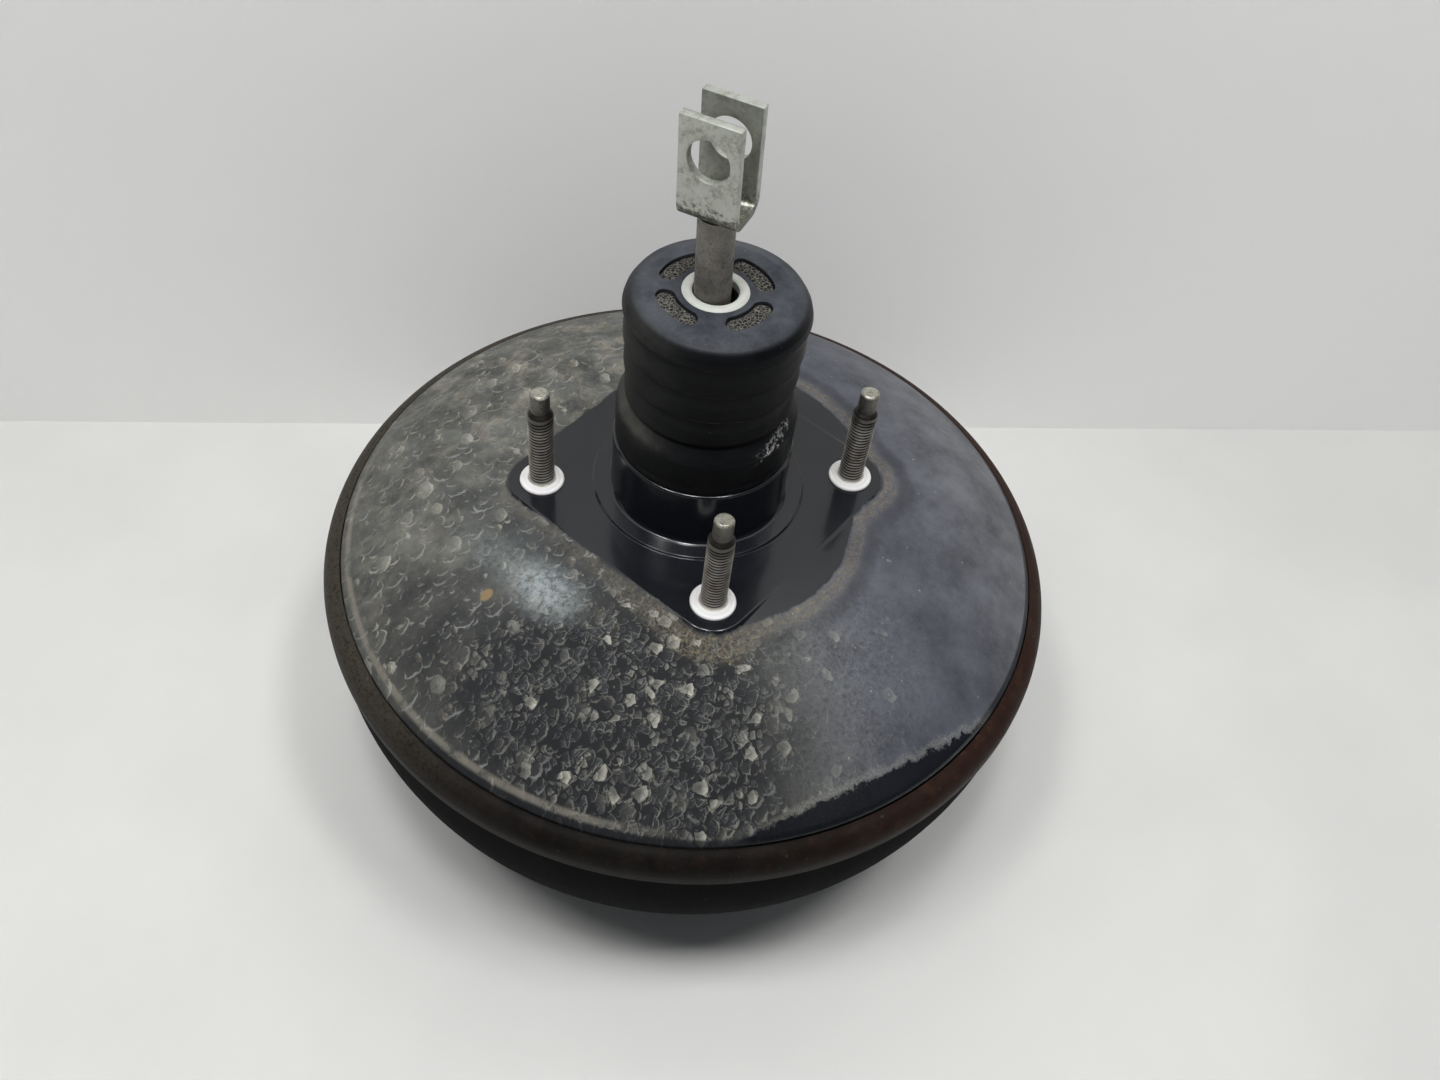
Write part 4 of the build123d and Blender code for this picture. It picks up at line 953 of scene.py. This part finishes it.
def threadRadius(z, angle, low, high):
    # a helical thread that runs out smoothly at both ends
    s = named(studSizes)
    phase = ((z / s.pitch - angle / (2 * math.pi)) % 1.0)
    wave = min(abs(phase - 0.5) * 2.6, 1.0)
    fade = min(max((z - low) / 1.0, 0.0), 1.0) * min(max((high - z) / 1.0, 0.0), 1.0)
    return s.radius - (s.radius - s.root) * (1 - wave) * fade


def makeStud(low, high, head, tip):
    # the section runs from the head to the tip, and the thread is then cut between low and high
    s = named(studSizes)
    points = list(head)
    count = int(abs(high - low) / (s.pitch / 7))
    points += [(s.radius, low + (high - low) * i / count) for i in range(count + 1)]
    points += tip
    piece = lathe(points, s.segments, joinEnds=False)
    applyPlace(piece)
    low, high = min(low, high), max(low, high)
    for vertex in piece.data.vertices:
        x, y, z = (value / mm for value in vertex.co)
        if low < z < high and abs(math.hypot(x, y) - s.radius) < 0.02:
            angle = math.atan2(y, x)
            r = threadRadius(z, angle, low, high)
            vertex.co.x, vertex.co.y = r * math.cos(angle) * mm, r * math.sin(angle) * mm
    return piece


def makeMountingStuds():
    s = named(studSizes)
    shank = s.height - s.dogLength
    head = rounded([(s.headRadius - 1, -7.6, 0), (s.headRadius, -7.2, 0.5), (s.headRadius, -4.1, 0.3),
                    (s.collar, -4.1, 0), (s.collar, 1.5, 0.2), (4.0, 1.5, 0)], steps=2)
    tip = rounded([(4.0, shank - 1.4, 0), (3.5, shank - 0.6, 0.6), (2.75, shank + 0.1, 0.4), (2.75, shank + 0.7, 0.3),
                   (s.dogRadius, shank + 1.2, 0.3), (s.dogRadius, s.height - 0.7, 0.7),
                   (2.2, s.height - 0.02, 0.4), (1.6, s.height - 0.05, 0)], steps=3)
    studs = repeatAt(makeStud(1.7, shank - 1.5, head, tip), studSpots)
    return finishPiece(studs, "mountingStuds", "housing", finish["studZinc"], 50,
                       ["mounting_studs"])


def makeFrontStuds():
    s = named(studSizes)
    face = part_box("front_shell")[0].z / mm
    head = rounded([(s.headRadius - 0.6, face + 8.2, 0), (s.headRadius, face + 7.8, 0.4),
                    (s.headRadius, face + 4.7, 0.3), (s.collar, face + 4.7, 0), (s.collar, face, 0.1),
                    (4.0, face, 0)], steps=2)
    tip = rounded([(4.0, face - 15.0, 0), (4.0, face - 15.2, 0.2), (3.2, face - 16.0, 0.3), (2.4, face - 16.0, 0)],
                  steps=2)
    half = s.frontSpacing / 2
    studs = repeatAt(makeStud(face - 0.3, face - 14.8, head, tip), [(-half, 0), (half, 0)])
    return finishPiece(studs, "frontStuds", "housing", finish["frontStudZinc"], 50,
                       ["master_cylinder_studs"])


makeMountingStuds()
makeFrontStuds()
print("studs made")


# Washers

washerSizes = {"radius": 7.05, "bore": 4.35, "thickness": 1.5, "rim": 0.95}


def makeWashers():
    s = named(washerSizes)
    section = rounded([(s.bore, 0.05, 0), (s.bore, s.thickness, 0.3), (s.bore + 0.9, s.thickness, 0.5),
                       (s.bore + 1.5, s.rim + 0.12, 0.6), (s.radius - 0.2, s.rim, 0.6),
                       (s.radius, 0.3, 0.4), (s.radius - 0.15, 0.02, 0.2), (s.bore + 0.1, 0.02, 0)], steps=4)
    return finishPiece(repeatAt(lathe(section, 64), studSpots), "studWashers", "housing",
                       finish["washerNylon"], 40, ["stud_washers"])


makeWashers()
print("washers made")


# Dust boot: the cuff stays on the neck, and the bellows sit above it

bootSizes = {
    "lipDepth": 21.9, "cuff": 27.51, "cuffTop": 34.6, "cuffBore": 26.35, "shelf": 34.1, "split": 35.3,
    "inner": 23.1, "height": 77.0, "topWall": 1.7,
    "pleats": [(40.0, 23.9), (50.0, 24.43), (60.0, 24.97), (70.0, 25.5)], "pleatDepth": 1.35, "pleatWidth": 0.8,
    "shoulder": [(26.3, 73.2, 2.2), (24.6, 75.9, 2.2), (20.6, 77.0, 3.0)],
    "hole": 8.8, "centre": (-1.342, 0.430), "shiftFrom": 14.5, "shiftTo": 20.0,
    "ventRadius": 14.2, "ventWidth": 5.8, "ventSpan": 66.0, "ventBearings": (83, 166, 263, 346), "segments": 160,
    "ventFloor": 74.0, "ventDepth": 5.0,
    "keep": 0.281,        # what is left of the bellows' height when the piston is down
}


def makeVentShape(bearing, low, tall, inset=0.0):
    # a disc's rim is bent into a kidney round the rod, then drawn up
    s = named(bootSizes)
    deselectAll()
    bpy.ops.mesh.primitive_circle_add(vertices=72, radius=1, fill_type="NGON", location=(0, 0, 0))
    piece = bpy.context.object
    half = s.ventWidth / 2 - inset
    span = math.radians(s.ventSpan) - 2 * math.asin((half + inset) / s.ventRadius)
    for vertex in piece.data.vertices:
        a = math.atan2(vertex.co.y, vertex.co.x)
        side = math.copysign(span / 2, math.cos(a)) * min(abs(math.cos(a)) * 4.0, 1.0)
        out = s.ventRadius + half * math.sin(a)
        turn = math.radians(bearing) - side - half * math.cos(a) / s.ventRadius
        vertex.co = Vector((s.centre[0] + out * math.cos(turn), s.centre[1] + out * math.sin(turn), low)) * mm
    drawUp = (bpy.ops.mesh.extrude_region_move, {"TRANSFORM_OT_translate": {"value": (0, 0, tall * mm)}})
    editAll(piece, drawUp, selectAll, turnOutwards)
    return piece


def waistRadius(z):
    # the straight slope from the cuff up to the first pleat
    s = named(bootSizes)
    pleatZ, pleatR = s.pleats[0]
    return s.cuff + (pleatR - s.cuff) * (z - s.cuffTop) / (pleatZ - s.cuffTop)


def keepRestPlace(piece):
    # each point remembers where it lies at rest, and the finish is laid out by that place
    saved = piece.data.attributes.new("restPlace", "FLOAT_VECTOR", "POINT")
    for vertex, spot in zip(piece.data.vertices, saved.data):
        spot.vector = (piece.matrix_world @ vertex.co) / mm
    return piece


def makeBootCuff():
    s = named(bootSizes)
    split = waistRadius(s.split)
    section = rounded([
        (s.cuffBore, s.shelf - 4, 0), (s.cuffBore, s.lipDepth, 0), (27.2, s.lipDepth, 0.25),
        (s.cuff - 0.1, 22.3, 0.3), (s.cuff - 0.05, 23.4, 0.5), (27.35, 24.4, 0.8), (s.cuff, 26.5, 2.0),
        (s.cuff, 33.9, 0.9), (waistRadius(34.9), 34.9, 0.3), (split, s.split, 0), (s.inner, s.split, 0),
        (s.inner, s.shelf, 0), (s.cuffBore, s.shelf, 0)], steps=4)
    return keepRestPlace(finishPiece(lathe(section, s.segments), "bootCuff", "housing",
                                     finish["bootRubber"], 45))


def makeBootBellows():
    s = named(bootSizes)
    split = waistRadius(s.split)
    corners = [(split, s.split, 0), (waistRadius(39.2), 39.2, 0.3)]
    for i, (z, r) in enumerate(s.pleats):
        crown = r + s.pleatDepth
        corners += [(r, z, 0.25), (crown - 0.15, z + s.pleatWidth * 0.35, 0.25),
                    (crown, z + s.pleatWidth + 0.4, 0.9)]
        if i < 3:
            nextZ, nextR = s.pleats[i + 1]
            corners += [(crown - 0.12, z + 5.5, 3.0), (nextR + 0.1, nextZ - 0.9, 0.6)]
    corners += s.shoulder + [(17.6, s.height, 0), (14.0, s.height, 0),
                (s.hole + 0.4, s.height, 0), (s.hole, s.height - 0.3, 0)]
    under = s.height - s.topWall
    outer = rounded(corners, steps=4)
    inner = [(s.hole, under), (18.0, under), (s.inner - 1.2, under - 0.1), (s.inner, under - 1.2),
             (s.inner, 60.0), (s.inner, 47.0), (s.inner, s.split)]
    piece = lathe(outer + inner, s.segments)
    applyPlace(piece)
    # the middle of the top is moved over to where the rod comes through
    cx, cy = s.centre
    for vertex in piece.data.vertices:
        r = math.hypot(vertex.co.x, vertex.co.y) / mm
        if vertex.co.z > 70 * mm and r < s.shiftTo:
            share = min((s.shiftTo - r) / (s.shiftTo - s.shiftFrom), 1.0)
            vertex.co.x += cx * share * mm
            vertex.co.y += cy * share * mm
    editAll(piece, turnOutwards)
    for bearing in s.ventBearings:
        cutter = makeVentShape(bearing, s.ventFloor, s.ventDepth)
        applyModifier(piece, "BOOLEAN", operation="DIFFERENCE", object=cutter, solver="EXACT")
        bpy.data.objects.remove(cutter)
    piece = finishPiece(piece, "bootBellows", "housing", finish["bootRubber"], 45, ["boot"])
    keepRestPlace(piece)
    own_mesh(piece)
    return piece


def makeBootRing():
    s = named(bootSizes)
    section = rounded([(6.6, 74.9, 0), (6.6, 77.25, 0.35), (7.3, 77.6, 0.5), (8.6, 77.6, 0.5), (9.5, 77.15, 0.4),
                       (9.5, 77.0, 0), (8.72, 77.0, 0), (8.72, 75.3, 0), (9.5, 75.3, 0.2), (9.5, 74.72, 0.2),
                       (7.0, 74.72, 0)], steps=4)
    piece = lathe(section, 96, centre=s.centre)
    return finishPiece(piece, "bootRing", "pushrod", finish["ringNylon"], 40, ["boot_ring"])


makeBootCuff()
makeBootBellows()
makeBootRing()
print("boot made")


# Pushrod and clevis

rodSizes = {"ball": 6.2, "neck": 4.0, "shank": 4.6, "radius": 5.2, "shoulder": 36.0, "floor": 83.1, "rivet": 3.4,
            "rivetTop": 86.4, "ballHeight": 20.0, "tilt": (-0.77, -2.4, 12.75), "clevisEdge": 0.42}


def makePushRod():
    s = named(rodSizes)
    ball = [(s.ball * math.sin(math.radians(a)), -s.ball * math.cos(math.radians(a))) for a in range(12, 140, 8)]
    section = ball + rounded([(s.neck, 8.4, 0), (s.shank, 12.4, 0), (s.shank, s.shoulder - 0.4, 0),
                              (s.radius, s.shoulder, 0.3), (s.radius, 60.0, 0),
                              (s.radius, s.floor - 0.05, 0), (s.rivet, s.floor, 0),
                              (s.rivet, s.rivetTop - 0.4, 0.4), (s.rivet - 0.5, s.rivetTop, 0.3),
                              (1.5, s.rivetTop, 0)], steps=3)
    piece = lathe(section, 64, joinEnds=False)
    applyPlace(piece)
    tiltX, tiltY, turn = (math.radians(value) for value in s.tilt)
    piece.matrix_world = (Matrix.Translation((0, 0, s.ballHeight * mm)) @ Matrix.Rotation(tiltX, 4, "X")
                          @ Matrix.Rotation(tiltY, 4, "Y") @ Matrix.Rotation(turn, 4, "Z"))
    return finishPiece(piece, "pushRod", "pushrod", finish["rodZinc"], 40, ["push_rod"])


def makeClevis():
    piece = refinedCopy("clevis", rodSizes["clevisEdge"])
    return finishPiece(piece, "clevisFork", "pushrod", finish["clevisZinc"], 35, ["clevis"])


makePushRod()
makeClevis()
print("pushrod made")


# Pieces that keep the solids' shape, with broken edges where they are seen

foamSwell = {"padTop": 76.3, "sunk": 0.4, "inset": 0.3, "rounding": 0.5}


def swellFoam(piece):
    # the foam swells up into the vents
    low = max(vertex.co.z for vertex in piece.data.vertices) / mm - foamSwell["sunk"]
    pads = [makeVentShape(bearing, low, foamSwell["padTop"] - low, foamSwell["inset"])
            for bearing in bootSizes["ventBearings"]]
    for pad in pads:
        breakEdges(pad, foamSwell["rounding"], 60)
    return joinAll([piece] + pads)


seenNodes = {
    "check_valve_body": ("checkValveBody", "housing", "white_nylon", "valveNylon", 0.25),
    "check_valve_cap": ("checkValveCap", "housing", "white_nylon", "valveNylon", 0.2),
    "check_valve_grommet": ("checkValveGrommet", "housing", "black_rubber", "blackRubber", 0.3),
    "front_seal": ("frontSeal", "housing", "black_rubber", "blackRubber", 0.0),
    "adjuster_screw": ("adjusterScrew", "power_piston", "zinc_steel", "frontStudZinc", 0.2),
    "air_filter": ("airFilter", "power_piston", "filter_foam", "foam", 0.3),
}
for node, (name, body, slotName, look, bevel) in seenNodes.items():
    piece = refinedCopy(node, bevel)
    if node == "air_filter":
        piece = swellFoam(piece)
    finishPiece(piece, name, body, finish[look], 35, [node])

# each spring: name, body, joint, travel
springs = {
    "return_spring": ("returnSpring", "housing", "piston_slide", 30.0),
    "rod_return_spring": ("rodReturnSpring", "power_piston", "plunger_slide", 1.6),
    "check_valve_spring": ("checkValveSpring", "housing", "check_flap_slide", 1.5),
}
for node, (name, body, joint, travel) in springs.items():
    piece = finishPiece(refinedCopy(node, 0), name, body, finish["springSteel"], 45, [node])
    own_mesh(piece)

keptFinish = {
    "domePaint": ["rear_reinforcement"],
    "bareSteel": ["front_reinforcement", "seal_retainer", "front_seal_cup", "valve_key", "poppet_retainer",
                  "valve_plunger", "rod_spring_seat", "diaphragm_plate"],
    "springSteel": ["poppet_spring", "output_rod_clip"],
    "blackRubber": ["neck_seal", "diaphragm", "reaction_disc", "poppet_valve", "check_valve_flap"],
    "darkNylon": ["neck_bush", "diaphragm_retainer"],
    "phenolic": ["valve_body"],
    "felt": ["air_silencer"],
    "frontStudZinc": ["output_rod"],
}
for look, names in keptFinish.items():
    for name in names:
        nodes[name].data.materials.clear()
        nodes[name].data.materials.append(finish[look])
print("kept nodes finished")


# Floor, wall and light

stageSizes = {"floorHeight": -127.8, "floorSide": 6.0, "floorMiddle": (0.4, 0.3),
              "wallFrom": (-98, 317), "wallTo": (392, -189), "wallHeight": 2.4}
stageLooks = {
    "floor": {"tone": (0.74, 0.74, 0.715), "dark": (0.68, 0.68, 0.66), "size": 160.0, "roughness": 0.5, "seen": 0.0},
    "wall": {"tone": (0.88, 0.875, 0.87), "dark": (0.84, 0.835, 0.82), "size": 220.0, "roughness": 0.6, "seen": 0.14},
}


def finishStage(piece, name, matName):
    look = named(stageLooks[name])
    material, where = newMaterial(matName)
    cloud = noiseAt(where, look.size, 4)
    # a little added for the camera and for reflections only, so that no more light falls on the object
    rays = place(where.tree, "LightPath")
    surface(material, {"Base Color": mixed(cloud.step(0.3, 0.7), look.dark, look.tone), "Specular IOR Level": 0.3,
                       "Roughness": cloud * 0.1 + look.roughness, "Emission Color": look.tone,
                       "Emission Strength": (rays["Is Camera Ray"] + rays["Is Glossy Ray"]).clamped() * look.seen})
    piece.name = name
    piece.data.materials.append(material)


def makeStage():
    s = named(stageSizes)
    height = s.floorHeight * mm
    deselectAll()
    bpy.ops.mesh.primitive_plane_add(size=s.floorSide, location=(*s.floorMiddle, height))
    finishStage(bpy.context.object, "floor", "paleFloor")
    start, end = Vector(s.wallFrom), Vector(s.wallTo)
    middle, along = (start + end) / 2 * mm, end - start
    bpy.ops.mesh.primitive_plane_add(size=1, location=(middle.x, middle.y, height + s.wallHeight / 2),
                                     rotation=(math.pi / 2, 0, math.atan2(along.y, along.x)))
    bpy.context.object.scale = (s.floorSide, s.wallHeight, 1)
    finishStage(bpy.context.object, "wall", "paleWall")


lightSetup = {
    "panelLeft": {"at": (-0.47, 0.15, 1.12), "size": (0.24, 0.16), "power": 4.0},
    "panelMiddle": {"at": (-0.25, -0.10, 1.12), "size": (0.24, 0.16), "power": 5.0},
    "panelRight": {"at": (0.02, -0.37, 1.12), "size": (0.24, 0.16), "power": 4.2},
}
roomLight = {"above": (0.16, 0.167, 0.18), "level": (0.03, 0.032, 0.036), "strength": 1.0, "panelBearing": 44.0,
             "levelUpTo": 0.25, "aboveFrom": 0.95}


def makeLights():
    world = bpy.data.worlds.new("softRoom")
    world.use_nodes = True
    inputs = world.node_tree.nodes["Background"].inputs
    height = axesOf(place(world.node_tree, "TexCoord")["Generated"])[2]
    share = height.step(roomLight["levelUpTo"], roomLight["aboveFrom"])
    plug(inputs["Color"], mixed(share, roomLight["level"], roomLight["above"]))
    plug(inputs["Strength"], roomLight["strength"])
    bpy.context.scene.world = world
    bearing = math.radians(roomLight["panelBearing"])
    for name, setup in lightSetup.items():
        deselectAll()
        bpy.ops.object.light_add(type="AREA", location=setup["at"])
        light = bpy.context.object
        light.name = name
        light.data.shape = "RECTANGLE"
        light.data.size, light.data.size_y = setup["size"]
        light.data.energy = setup["power"]
        # the panels lie level and lean in towards the object
        down = -light.location.normalized()
        along = Vector((math.cos(bearing), math.sin(bearing), 0))
        along = (along - down * along.dot(down)).normalized()
        turned = Matrix((along, (-down).cross(along), -down)).transposed()
        light.rotation_euler = turned.to_euler()


# Camera

cameraSetup = {"focal": 1227.5, "imageWidth": 1440, "elevation": 50.102, "roll": 8.157, "bearing": 56.852,
               "offset": (-6.967, -20.122), "distance": 396.68, "sensor": 36, "clip": (0.01, 50)}


def makeCamera():
    s = named(cameraSetup)
    se, ce = math.sin(math.radians(s.elevation)), math.cos(math.radians(s.elevation))
    sr, cr = math.sin(math.radians(s.roll)), math.cos(math.radians(s.roll))
    turn = Matrix.Rotation(-math.radians(s.bearing), 3, "Z")
    right = turn @ Vector((cr, se * sr, ce * sr))
    down = turn @ Vector((sr, -se * cr, -ce * cr))
    ahead = turn @ Vector((0, ce, -se))
    at = -(right * s.offset[0] + down * s.offset[1] + ahead * s.distance) * mm
    deselectAll()
    bpy.ops.object.camera_add(location=at)
    camera = bpy.context.object
    pose = Matrix((right, -down, -ahead)).transposed().to_4x4()
    pose.translation = at
    camera.matrix_world = pose
    camera.data.sensor_width = s.sensor
    camera.data.lens = s.focal / s.imageWidth * s.sensor
    camera.data.clip_start, camera.data.clip_end = s.clip
    bpy.context.scene.camera = camera


makeStage()
makeLights()
makeCamera()
bpy.context.scene.view_settings.view_transform = "Standard"
print("stage, lights and camera set")

deselectAll()
